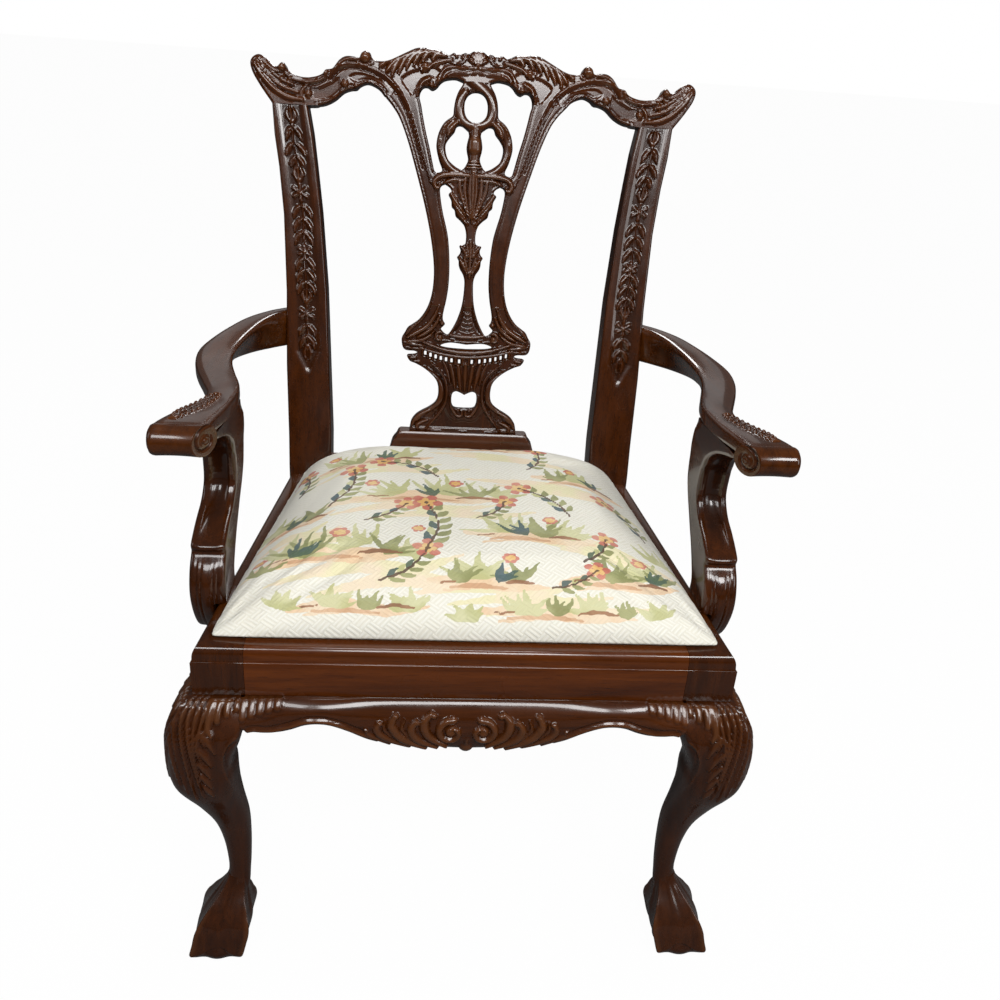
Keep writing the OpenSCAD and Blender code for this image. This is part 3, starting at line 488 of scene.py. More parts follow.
knee += [([(240, 351), (248, 349), (255, 342), (260, 330), (262, 314), (261, 298), (258, 280),
           (255, 258)], [1.6, 1.8, 1.8, 1.6, 1.5, 1.4, 1.2, 0.8], 1.5),
         ([(240, 345.5), (250, 342), (255.5, 335), (258, 322), (258, 306)],
          [1.2, 1.2, 1.2, 1.2, 0.6], -1.0)]


def ledge(z):
    """How far the knee and the apron stand out as they leave the rail's underside."""
    return 1 + 33 * max(0, 1 - ((z - 318) / 68.5) ** 2) ** 0.8 if z > 318 else 99


def joined(parts, side=1):
    """Several skins as one: its points, faces and relief. A part is its rings and their marks."""
    points, faces, relief = [], [], []
    for rings, marks in parts:
        p, f = skin([np.array(ring) * (side, 1, 1) for ring in rings])
        faces += [tuple(i + len(relief) for i in face) for face in f]
        points.append(p)
        relief += list(np.concatenate([np.ravel(marks), [0, 0]]))
    return np.vstack(points), faces, np.array(relief)


def powered(v, power):
    """v to a power, with its sign kept: makes a circle squarer or rounder."""
    return np.sign(v) * np.abs(v) ** power


around = 150
knee_out = 27               # how far the knee's middle moves out each way from the block's
foot_out = 22
leg_rings = []
places = []
for z, share, half, square, other in smooth_rows(leg_form, 1.3):
    a = np.radians(np.arange(0, 360, 0.75))
    power = 2 / np.where((np.cos(a) > 0) & (np.sin(a) < 0), square, other)
    px, py = even_ring(half * powered(np.cos(a), power), half * powered(np.sin(a), power), around)
    px += leg_middle + share * knee_out
    py += half_front - leg_middle - share * knee_out
    px = np.minimum(px, half_front + ledge(z))
    py = np.maximum(py, -ledge(z))
    leg_rings.append(np.column_stack([px, py, 0 * px + z]))
    places.append(np.minimum(px, half_front - py))
places = np.array(places)
tall = np.array([r[:, 2] for r in leg_rings])
inner_edge = places.min(1)[:, None]
depth = carve(places.ravel(), tall.ravel(), knee).reshape(places.shape)
beside = np.clip((places - inner_edge - 1.5) / 3, 0, 1)
bed = np.clip((places - 264) / 4, 0, 1) * np.clip((tall - 252) / 34, 0, 1) \
    * np.clip((372 - tall) / 10, 0, 1) * np.clip((312 - places) / 6, 0, 1)
depth = (depth - 0.9 * bed) * beside * np.clip((386 - tall) / 3, 0, 1)
leg_rings = np.array(leg_rings) + outward_normals(leg_rings, -1) * depth[:, :, None]
leg_rings[:, :, 2] = np.minimum(leg_rings[:, :, 2], rail_low - 0.1)

# The claw: four toes run out to the corners as sharp ridges, and the web between them is drawn
# smoothly down over the ball, which shows below its edge
foot_rings = []
foot_marks = []
for z, skin_r, stand, share in smooth_rows(foot_form, 1.2):
    a = np.radians(np.arange(0, 360, 2.0))
    toe = np.abs(np.cos(2 * (a - math.pi / 4)))
    knuckle = 1 + 0.16 * math.exp(-((z - 69) / 6) ** 2) + 0.10 * math.exp(-((z - 40) / 8) ** 2)
    out = stand * (0.52 * toe ** 6 + 0.22 * toe ** 22 + 0.3 * toe ** 70) * knuckle
    under = soft_step(25 - 15 * toe ** 2 - z, 0, 2) * (1 - toe ** 12)
    tendon = 0.5 * np.cos(a * 12) * math.exp(-((z - 72) / 22) ** 2) * (1 - toe ** 3)
    ball = 2.6 * math.exp(-((z - 11) / 8) ** 2) * (1 - toe ** 2)
    r = skin_r + out + tendon - 2.8 * under + ball
    out = foot_out * share
    foot_rings.append(np.column_stack([leg_middle + out + r * np.cos(a),
                                       half_front - leg_middle - out + r * np.sin(a), 0 * a + z]))
    # The toes' ridges are marked light as wear; the ball under the web's edge and the creases beside the
    # toes are marked dark as dirt and painted shade.
    foot_marks.append(np.clip(toe ** 40 * stand / 14, 0, 0.8) - 0.35 * under
                      - 0.22 * np.exp(-((toe - 0.9) / 0.05) ** 2) * np.clip(stand / 10, 0, 1))

block_rings = []
block_edge = 239.2
corner = [p for p in moulding if p[1] < ledge_height - 0.1] + [(0, ledge_height - 0.1), (0, ledge_height)]
corner += [p for p in moulding if p[1] > ledge_height and p[0] < 23]
for d, z in corner:
    ring = [(block_edge, d), (side_x(d, d), d), (side_x(block_side, d), block_side)]
    if z < ledge_height:
        ring += [(block_edge + 0.2, block_side), (block_edge, block_side - 0.2), (block_edge, 40)]
    else:
        ring += [(side_x(block_side, 24), block_side), (side_x(24, 24), 24), (block_edge, 24)]
    block_rings.append([(x, y, z) for x, y in ring])

for side, word in ((1, "right"), (-1, "left")):
    # The knee's carved hollows and bed are marked dark and its ridges light: dirt and painted shade in the
    # hollows, wear on the ridges.
    points, faces, relief = joined([(leg_rings, depth / 2.6), (foot_rings, foot_marks),
                                    (block_rings, np.zeros((len(block_rings), 6)))], side)
    leg = new_piece("leg_" + word, points, faces, relief=relief)
    polish(leg, upright_wood)
    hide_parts("front_leg_" + word)

# ---- Apron and knee brackets -----------------------------------------------------------------
# A swelling apron is glued under the front rail between the knees. Its shaped lower edge has a
# raised double fillet, and a pair of leafy scrolls is carved at its middle.

apron_edge = [(0, 320), (24, 321), (45, 323), (69, 324), (88, 327), (108, 333), (129, 344),
              (148, 352), (163, 354), (177, 352), (191, 346), (206, 342), (217, 343), (229, 346),
              (238.9, 344)]
edge_line = curve(apron_edge, 8)
shell = both([
    volute(17.5, 351, 15.5, 100, 1.3, 4.6, 5.0, -1), boss(17.5, 351, 5, 5.6),
    boss(37, 371, 4.0, 5.0), boss(55, 363, 3.6, 4.4), boss(78, 370, 4.0, 4.8),
    boss(95, 362, 3.4, 4.0), boss(109, 353, 2.8, 3.4),
    ([(40, 373), (47, 363), (42, 346), (22, 331)], [3.0, 5.4, 5.4, 2.4], 5.4),
    ([(56, 365), (61, 354), (54, 340), (32, 328)], [2.8, 5.0, 5.2, 2.4], 4.9),
    ([(79, 371), (82, 358), (70, 341), (44, 326)], [3.0, 5.4, 5.4, 2.4], 5.2),
    ([(96, 363), (98, 352), (87, 340), (62, 327)], [2.6, 4.6, 4.8, 2.2], 3.6),
    ([(110, 354), (106, 345), (84, 331)], [2.2, 3.8, 2.2], 3.0),
    ([(48, 368), (50, 356), (44, 344)], [1.0, 2.8, 1], 2.4),
    ([(68, 367), (71, 355), (62, 342)], [1.0, 2.8, 1], 2.4),
    ([(89, 366), (90, 354), (80, 342)], [1.0, 2.6, 1], 2.2),
    ([(41, 364), (40, 352), (30, 340)], [0.6, 1.2, 0.5], -1.2),
    ([(79, 362), (76, 350), (62, 337)], [0.6, 1.2, 0.5], -1.2)])
shell += [boss(0, 326, 8, 4.5), ([(0, 330), (0, 342)], [4, 1.5], 2.6)]
rim = [(x, z + 10) for x, z in edge_line if 100 < x][::4]
inner_rim = [(x, z + 15) for x, z in edge_line if 108 < x][::4]
lower_rim = [(x, z + 4) for x, z in edge_line if 96 < x][::4]
fillets = both([(rim, [2.6], 3.4), (inner_rim, [1.8], -1.2), (lower_rim, [2.2], 1.8)])
end_leaves = both([([(x, 393), (x + 4, 386), (x + 5, low)], [3.4, 5.4, 4.8], 2.4)
                   for x, low in ((199, 379), (208, 377), (217, 375), (226, 373), (235, 370.5))])

profile = curve([(0.3, 0), (-.02, .01), (-.34, .07), (-.68, .19), (-.92, .34), (-1, .52),
                 (-.88, .74), (-.56, .91), (-.2, 1)], 8)
knee_rows = curve(leg_form, 6)[::-1]
apron_rings = []
for x in np.arange(-243.2, 243.3, 1.52):
    flow = soft_step(abs(x), 196, 236)
    low = np.interp(abs(x), edge_line[:, 0], edge_line[:, 1])
    z = rail_low - profile[:, 1] * (rail_low - low)
    y = np.where(profile[:, 0] < 0, profile[:, 0] * 14, profile[:, 0])
    knee_face = half_front - leg_middle - knee_out * np.interp(z, knee_rows[:, 0], knee_rows[:, 1]) \
        - np.interp(z, knee_rows[:, 0], knee_rows[:, 2])
    knee_face = np.maximum(knee_face, [-ledge(h) for h in z])
    knee_face[0] = 2
    kept = flow * (1 - np.clip((profile[:, 1] - 0.45) / 0.45, 0, 1) ** 1.5)
    y = y * (1 - kept) + knee_face * kept
    y = np.concatenate([[24, 24, 12], y, [21, 23]])
    z = np.concatenate([[0.5 * (rail_low + low), rail_low, rail_low], z, [low, low]])
    apron_rings.append(np.column_stack([0 * y + x, y, z]))
grid = np.array(apron_rings)
depth = carve(grid[:, :, 0].ravel(), grid[:, :, 2].ravel(), shell + fillets + end_leaves)
depth = depth.reshape(grid.shape[:2]) * np.clip((6 - grid[:, :, 1]) / 8, 0, 1)
grid = grid + outward_normals(grid, 1) * depth[:, :, None]
grid[:, :, 2] = np.minimum(grid[:, :, 2], rail_low - 0.1)
points, faces = skin(list(grid))
# The apron's hollows are marked dark and its raised carving light: dirt and painted shade in the hollows,
# wear on the ridges.
apron = new_piece("carved_apron", points, faces,
                  relief=np.concatenate([depth.ravel() / 3 - 0.05, [0, 0]]))
carved_wood = wood("mahogany_carved", "X", (0.086, 0.0205, 0.0023), (0.017, 0.0036, 0.0006))
polish(apron, carved_wood)
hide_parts("front_apron")

bracket_edge = curve([(0, -44), (14, -41), (30, -30), (44, -26), (70, -14), (78, -8)], 8)
for side, word in ((1, "right"), (-1, "left")):
    rings = []
    for a, low in bracket_edge:
        bulge = 4 + 9 * max(0, 1 - a / 60) ** 2
        part = curve([(0, 0), (bulge * .5, .15), (bulge, .5), (bulge * .7, .85), (0, 1)], 5)
        out = np.concatenate([part[:, 0], [-24, -24]])
        z = rail_low + low * np.concatenate([part[:, 1], [1, 0.02]])
        along = block_side + 0.5 + a
        x = half_front - along * math.sin(splay) + out * math.cos(splay)
        y = along * math.cos(splay) + out * math.sin(splay)
        rings.append(np.column_stack([side * x, np.maximum(y, 55.3), z]))
    points, faces = skin(rings)
    bracket = new_piece("side_bracket_" + word, points, faces)
    polish(bracket, lengthwise_wood)
    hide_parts("knee_bracket_" + word)

# ---- Crest rail ------------------------------------------------------------------------------
# The top rail is sawn to a serpentine outline and carved on its face: leafy horns at the ears,
# little knobs, sunk panels, two sweeping acanthus leaves and a small shell at the middle.

up_the_back = np.array((0, math.sin(math.atan(lean)), math.cos(math.atan(lean))))
out_of_back = np.array((0, -math.cos(math.atan(lean)), math.sin(math.atan(lean))))


def paced(line, step):
    """The closed line with its places an even step apart."""
    length = np.cumsum(np.hypot(*np.diff(np.vstack([line, line[:1]]), axis=0).T))[-1]
    return np.column_stack(even_ring(*line.T, int(length / step)))


def within(x, z, line):
    """Which places lie inside the closed line."""
    inside = np.zeros(len(x), bool)
    for (x0, z0), (x1, z1) in zip(line, np.roll(line, -1, 0)):
        if z0 != z1:
            crossing = x0 + (z - z0) * (x1 - x0) / (z1 - z0)
            inside ^= ((z0 > z) != (z1 > z)) & (x < crossing)
    return inside


def off_line(x, z, line, closed=True):
    """Distance of places from a line."""
    best = np.full(len(x), 1e9)
    ends = np.roll(line, -1, 0) if closed else line[1:]
    for a, b in zip(line, ends):
        step = b - a
        t = np.clip(((x - a[0]) * step[0] + (z - a[1]) * step[1]) / max(step @ step, 1e-9), 0, 1)
        best = np.minimum(best, (x - a[0] - t * step[0]) ** 2 + (z - a[1] - t * step[1]) ** 2)
    return np.sqrt(best)


def sunk(x, z, line, depth, soft=1.4):
    """A panel let down inside its outline."""
    ring = curve(np.vstack([line, line[:1]]), 4)[:-1]
    return -depth * within(x, z, ring) * soft_step(off_line(x, z, ring), 0, soft)


def slab(name, outline, holes, step, thick, relief_of, joint, front_round, back_round):
    """A pierced and carved board that stands in the plane of the leaning back."""
    lines = [paced(outline, step)] + [paced(h, step) for h in holes]
    low, high = lines[0].min(0), lines[0].max(0)
    xs = np.arange(low[0], high[0], step)
    zs = np.arange(low[1], high[1], step * 0.866)
    x, z = np.meshgrid(xs, zs)
    x = x + 0.5 * step * (np.arange(len(zs)) % 2)[:, None]
    x, z = x.ravel(), z.ravel()
    keep = within(x, z, lines[0])
    for hole in lines[1:]:
        keep &= ~within(x, z, hole)
    x, z = x[keep], z[keep]
    gap = np.min([off_line(x, z, line) for line in lines], 0)
    x, z = x[gap > 0.55 * step], z[gap > 0.55 * step]
    spots = [Vector(p) for line in lines for p in line] + [Vector(p) for p in zip(x, z)]
    edges = []
    first = 0
    for line in lines:
        n = len(line)
        edges += [(first + i, first + (i + 1) % n) for i in range(n)]
        first += n
    spots, _, tris = delaunay_2d_cdt(spots, edges, [], 0, 1e-6, False)[:3]
    flat = np.array([tuple(p) for p in spots])
    tris = np.array([tuple(t) for t in tris])
    middle = flat[tris].mean(1)
    keep = within(middle[:, 0], middle[:, 1], lines[0])
    for hole in lines[1:]:
        keep &= ~within(middle[:, 0], middle[:, 1], hole)
    tris = tris[keep]
    used = np.unique(tris)
    number = np.full(len(flat), -1)
    number[used] = np.arange(len(used))
    flat, tris = flat[used], number[tris]
    x, z = flat.T
    gap = np.full(len(x), 1e9)
    for line in lines:
        ends = np.roll(line, -1, 0)
        free = ~joint(*(0.5 * (line + ends)).T)
        for a, b in zip(line[free], ends[free]):
            gap = np.minimum(gap, off_line(x, z, np.array([a, b]), False))
    height, mark = relief_of(x, z, gap)

    def fall(r):
        near = 1 - np.minimum(gap, r) / r
        return r * (1 - np.sqrt(1 - near * near))

    base = np.column_stack([x, 0 * x, 0 * z]) + np.outer((z - bend), up_the_back / up_the_back[2])
    base += (0, seat_deep, bend)
    face = base + np.outer(height - fall(front_round), out_of_back)
    back = base - np.outer(thick(x, z) - fall(back_round), out_of_back)
    n = len(x)
    sides = np.sort(np.vstack([tris[:, [0, 1]], tris[:, [1, 2]], tris[:, [2, 0]]]), 1)
    pairs, count = np.unique(sides, axis=0, return_counts=True)
    walls = [(a, b, b + n, a + n) for a, b in pairs[count == 1]]
    faces = [tuple(t) for t in tris] + [tuple(t + n) for t in tris[:, ::-1]] + walls
    return new_piece(name, np.vstack([face, back]), faces,
                     relief=np.concatenate([mark, 0 * mark - 0.1]), crisp=50)


crest_top = [(0, 0), (7, 1), (12, 4), (17, 3), (22, 5), (28, 5), (33, 4), (38, 7), (43, 6), (52, 2),
             (62, 1), (75, .5), (84, 2), (95, 7), (105, 12), (115, 17), (125, 20), (136, 20),
             (141, 17), (143, 12), (149, 9), (155, 12), (158, 18), (164, 17), (175, 17), (184, 22),
             (192, 32), (197, 34), (202, 35), (206, 40), (215, 44), (228, 46), (242, 44), (251, 38),
             (255, 31), (260, 30), (265, 35), (270, 34), (279, 26), (289, 22), (297, 26), (300, 33),
             (297, 44), (289, 57), (281, 68), (274, 77), (272, 80)]
crest_belly = [(225, 80), (205, 78), (190, 71), (178, 61), (168, 57), (161, 56), (155, 51),
               (145, 48), (132, 53), (124, 61)]
crest_arch = [(77, 61), (76, 54), (72, 48), (66, 47), (60, 50), (54, 47), (49, 41), (43, 37),
              (34, 35), (27, 35), (18, 38)]


def hung(points):
    """Places measured down from the top of the chair."""
    return np.array([(x, chair_top - drop) for x, drop in points], float)


def whole(half):
    """A half outline and its likeness, from right to left."""
    other = half[::-1] * (-1, 1)
    return np.vstack([half, other])


half = np.vstack([curve(hung(crest_top), 4), curve(hung(crest_belly), 5),
                  curve(hung(crest_arch), 5)])
crest_line = whole(half[1:])


def crest_edge(x):
    """Height of the crest's top edge at x."""
    return np.interp(x, *curve(hung(crest_top[:38]), 2).T)


leaf_ends = [(60, 1001), (73, 999), (85, 994), (95, 988), (105, 982), (114, 979), (122, 983),
             (131, 989)]
crest_leaves = []
for k, (x1, z1) in enumerate(leaf_ends):
    x0 = 43 + 8.6 * k
    z0 = crest_edge(x0) - 3.5
    bow = 4.5 if k < 6 else 2.5
    crest_leaves.append(([(x0, z0), (0.55 * x0 + 0.45 * x1 + bow, 0.55 * z0 + 0.45 * z1 + bow),
                          (0.2 * x0 + 0.8 * x1 + 0.8 * bow, 0.2 * z0 + 0.8 * z1 + 0.5 * bow),
                          (x1, z1)], [2.2, 3.9, 3.5, 1.2], 3.6))
crest_leaves += [
    ([(38, 1004), (48, 1002), (60, 998), (66, 992)], [2.6, 3.6, 2.4], 3.2), boss(70, 994, 5.6, 4.6),
    volute(70, 994, 9, 60, 0.7, 2.2, 2.6, -1),
    # the fillet that runs along the top, over the band and down beside the strap
    ([(196, 974), (190, 983), (182, 989), (170, 992), (157, 991), (142, 988), (126, 982), (112, 972),
      (100, 958), (91, 942), (84, 925)], [2.0, 2.4, 2.4, 2.2, 1.8, 1.5], 2.0),
    ([(193, 971), (186, 980), (176, 986), (160, 986.5), (143, 983), (128, 977), (115, 967),
      (104, 954), (95, 939), (88, 922)], [1.4, 1.4, 1.2, 1.0], -1.5),
    ([(200, 975), (212, 968.5), (228, 966.5), (244, 968.5), (254, 975)], [2.0, 2.3, 2.0], 2.2),
    ([(202, 970), (214, 964), (229, 962.5), (243, 964.5)], [1.3, 1.5, 1.2], -1.4),
    ([(158, 998), (172, 997.5), (183, 992), (192, 981)], [2.4, 2.8, 2.6, 2.0], 2.8),
    boss(150, 1001, 8.0, 6.5), ([(140, 994), (150, 991), (160, 994)], [1.6, 2.4, 1.6], 2.4),
    boss(202, 979, 4.6, 4.4), boss(259, 982, 5.8, 5.2), boss(176, 967, 5.4, 4.6),
    boss(161, 965, 3.6, 3.2), boss(224, 952, 5.0, 4.0),
    ([(226, 963), (232, 955), (234, 946)], [2.4, 3.2, 1.8], 2.8),
    # the horn: long flutes that gather to the tip of the ear
    ([(232, 944), (250, 946), (268, 955), (284, 970), (294, 984)], [2.6, 3.8, 4.0, 3.6, 2.6], 3.6),
    ([(238, 953), (254, 957), (270, 965), (284, 977), (292, 988)], [2.4, 3.8, 3.8, 3.4, 2.0], 3.4),
    ([(244, 962), (256, 965), (269, 972), (281, 981), (290, 991)], [2.0, 3.4, 3.4, 3.0, 1.6], 3.2),
    ([(262, 976), (270, 978), (279, 985), (288, 992)], [2.0, 3.2, 3.0, 1.6], 3.0),
    ([(240, 949), (262, 957), (284, 976)], [0.8, 1.3, 0.8], -1.4),
    ([(246, 959), (264, 967), (284, 984)], [0.8, 1.3, 0.8], -1.4),
    ([(246, 971), (251, 964), (249, 956)], [1.4, 2.6, 1.0], 3.6),
    ([(254, 973), (260, 967), (259, 960)], [1.4, 2.4, 1.0], 3.8),
    # the middle: a fillet over the arch, scroll ends under it and beads on top
    ([(0, 997), (20, 995.5), (34, 996), (44, 993), (50, 984), (54, 976)], [2.2, 2.2, 2.4, 1.8], 2.4),
    ([(0, 991), (18, 989), (32, 989), (41, 985), (47, 977)], [1.4, 1.8, 1.8, 1.4], 2.0),
    boss(61, 973, 4.2, 3.6), boss(51, 977, 3.6, 3.2), ([(64, 980), (73, 975), (78, 964), (81, 950)],
                                                       [2.6, 3.0, 2.4, 1.4], 2.8),
    boss(20, 1008, 2.8, 2.6), boss(29, 1009, 2.8, 2.6), boss(36, 1005, 2.8, 2.6),
    ([(12, 1013), (20, 1003), (31, 1001), (40, 1002)], [1.2, 2.0, 1.6, 1.2], 2.0)]
crest_leaves = both(crest_leaves)
for k in range(-3, 4):
    a = math.radians(90 + 24 * k)
    crest_leaves.append(([(2 * math.cos(a), 1001 + 2 * math.sin(a)),
                          (10.5 * math.cos(a), 1001 + 14 * math.sin(a))], [1.2, 3.0], 3.4))
crest_leaves.append(boss(0, 1000, 3.4, 4.2))

panels = [
    ([(48, 990), (60, 996), (78, 991), (92, 986), (102, 977), (93, 964), (86, 957), (82, 966),
      (76, 977), (65, 983), (55, 981)], 2.0),
    ([(184, 976), (194, 968), (210, 960.5), (222, 959.5), (221, 948), (206, 945.5), (191, 949),
      (182, 957)], 2.2),
    ([(110, 962), (124, 973.5), (142, 979.5), (160, 981.5), (171, 976), (163, 969.5), (146, 972.5),
      (130, 967), (116, 955)], 0.9)]


def crest_relief(x, z, gap):
    """The crest's carved height, and its marks, where gap is the way to its edge."""
    u = np.abs(x)
    flat = sum(sunk(u, z, np.array(line), deep) for line, deep in panels)
    cut = carve(x, z, crest_leaves)
    leafy = soft_step(cut, 0.2, 1.2)
    edge = -0.9 * np.exp(-((gap - 4.6) / 0.9) ** 2) * (z < 976) * (u > 96) * (u < 222)
    ground = -0.8 * soft_step(z, 997, 999) * (u < 136)
    height = cut + (flat + edge + ground) * (1 - leafy)
    height *= soft_step(gap, 0, 2.0) * 0.85 + 0.15
    # Grooves and sunk panels are marked dark, and the creases where the strokes rise from the ground darker
    # still, as dirt and painted shade; raised strokes are marked light as wear.
    mark = np.where(cut > 0.3, cut / 4.0 - 0.12, np.minimum((edge + cut) / 1.6, 0) + flat * 0.06)
    crease_dirt_and_shade = np.exp(-((cut - 0.7) / 0.6) ** 2) * (cut > 0.02)
    return height, mark - 0.65 * crease_dirt_and_shade


crest = slab("carved_crest", crest_line, [], 1.6, lambda x, z: 0 * x + 26.6, crest_relief,
             lambda x, z: (z < 939) | ((z < 958) & (np.abs(x) < 124) & (np.abs(x) > 77)
                                       & (z > 956)) | ((np.abs(x) < 18) & (z < 990)),
             2.6, 8.0)
polish(crest, carved_wood)
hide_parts("crest_rail")

# ---- Splat and shoe --------------------------------------------------------------------------
# The splat is fretted from one thin board: a ring over two loops, an acanthus and a thistle bud
# on the stem, and a waisted foot. It is tenoned up into the crest and down into the shoe.

strap_outer = [(124, 957), (112, 944), (102, 929), (90, 900), (77, 860), (65, 820), (55.5, 780),
               (50.3, 745), (50, 720), (53, 700), (59, 684), (68, 671), (77, 664), (84, 659),
               (88, 652), (92, 645), (92, 638), (90, 631), (85, 627.4), (74, 627), (69.5, 624.8),
               (74, 622.5), (84, 621), (80, 613), (71, 609.5), (60, 604), (49, 596), (41, 587),
               (38, 577), (38, 565), (42, 556), (51, 549), (61, 543.5), (69, 538), (75, 530),
               (77, 522), (78, 515)]
upper_gap = [(77, 957), (74, 947), (71.5, 935), (67, 916), (61, 895), (56, 875), (53, 866),
             (47, 865), (43, 869), (47.5, 880), (51.5, 894), (52, 903), (49.5, 915), (44, 926),
             (38, 932), (32, 936), (30.3, 940), (30, 947), (28.5, 957), (25, 967), (20, 975),
             (18, 980)]
loop_void = [(9, 919), (18, 925), (25, 924), (28, 917), (34, 910), (39, 902), (39.3, 893),
             (36, 883), (30, 877), (22, 872), (15.5, 870.5), (11, 876), (8, 884), (10, 893),
             (10.7, 900), (9.4, 908), (8, 914)]
long_void = [(38, 850.5), (43, 848), (45, 842), (42.5, 825), (39, 810), (35.5, 798), (32, 784),
             (29.8, 768), (28.4, 750), (28, 732), (28.7, 715), (31, 698), (33.7, 685), (35, 676),
             (34, 670), (31.5, 666), (34, 662.5), (37, 659), (34, 655), (30, 652), (26.5, 651.6),
             (23, 656), (19.5, 662), (15.5, 670), (11.8, 680), (9, 690), (7.2, 701), (6.2, 715),
             (6.4, 726), (9, 734), (13, 740), (15.2, 746), (15.6, 752), (18, 756.5), (14.4, 761),
             (13.4, 766), (15.2, 772), (8, 774), (6.4, 780), (6.8, 789), (9.5, 798), (16, 805),
             (22, 810), (24, 818), (28, 822), (29, 830), (33, 838), (29, 842), (32, 847)]
crescent = [(0, 638.5), (20, 640.5), (31, 639), (37, 635.4), (24, 633), (0, 632)]
heart = [(0, 568), (6, 571), (12, 572.8), (17, 570), (18.4, 562), (17.2, 554), (13, 549.8),
         (0, 549)]


def mirrored_void(half):
    """A closed void drawn from the middle line out and round to the middle line again."""
    line = curve(half, 4)
    return np.vstack([line, line[-2:0:-1] * (-1, 1)])


around_hole = np.radians(np.arange(0, 360, 8))
ring_hole = np.column_stack([16 * powered(np.cos(around_hole), .9),
                             949 + 19 * powered(np.sin(around_hole), .9)])
voids = [ring_hole, mirrored_void(crescent), mirrored_void(heart)]
for void in (loop_void, long_void):
    line = curve(void + void[:1], 4)[:-1]
    voids += [line, line * (-1, 1)]
for x in (9, 20, 28, 35.5, 43, 50.5, 58):
    low = 611.5 + x * x / 330
    slot = np.array([(x - 1.7, low), (x + 1.7, low), (x + 1.9, low + 6), (x - 1.5, low + 6)])
    voids += [slot, slot * (-1, 1)]
splat_line = np.vstack([curve(strap_outer, 4), curve(strap_outer, 4)[::-1] * (-1, 1),
                        curve(upper_gap, 4) * (-1, 1), curve(upper_gap, 4)[::-1]])

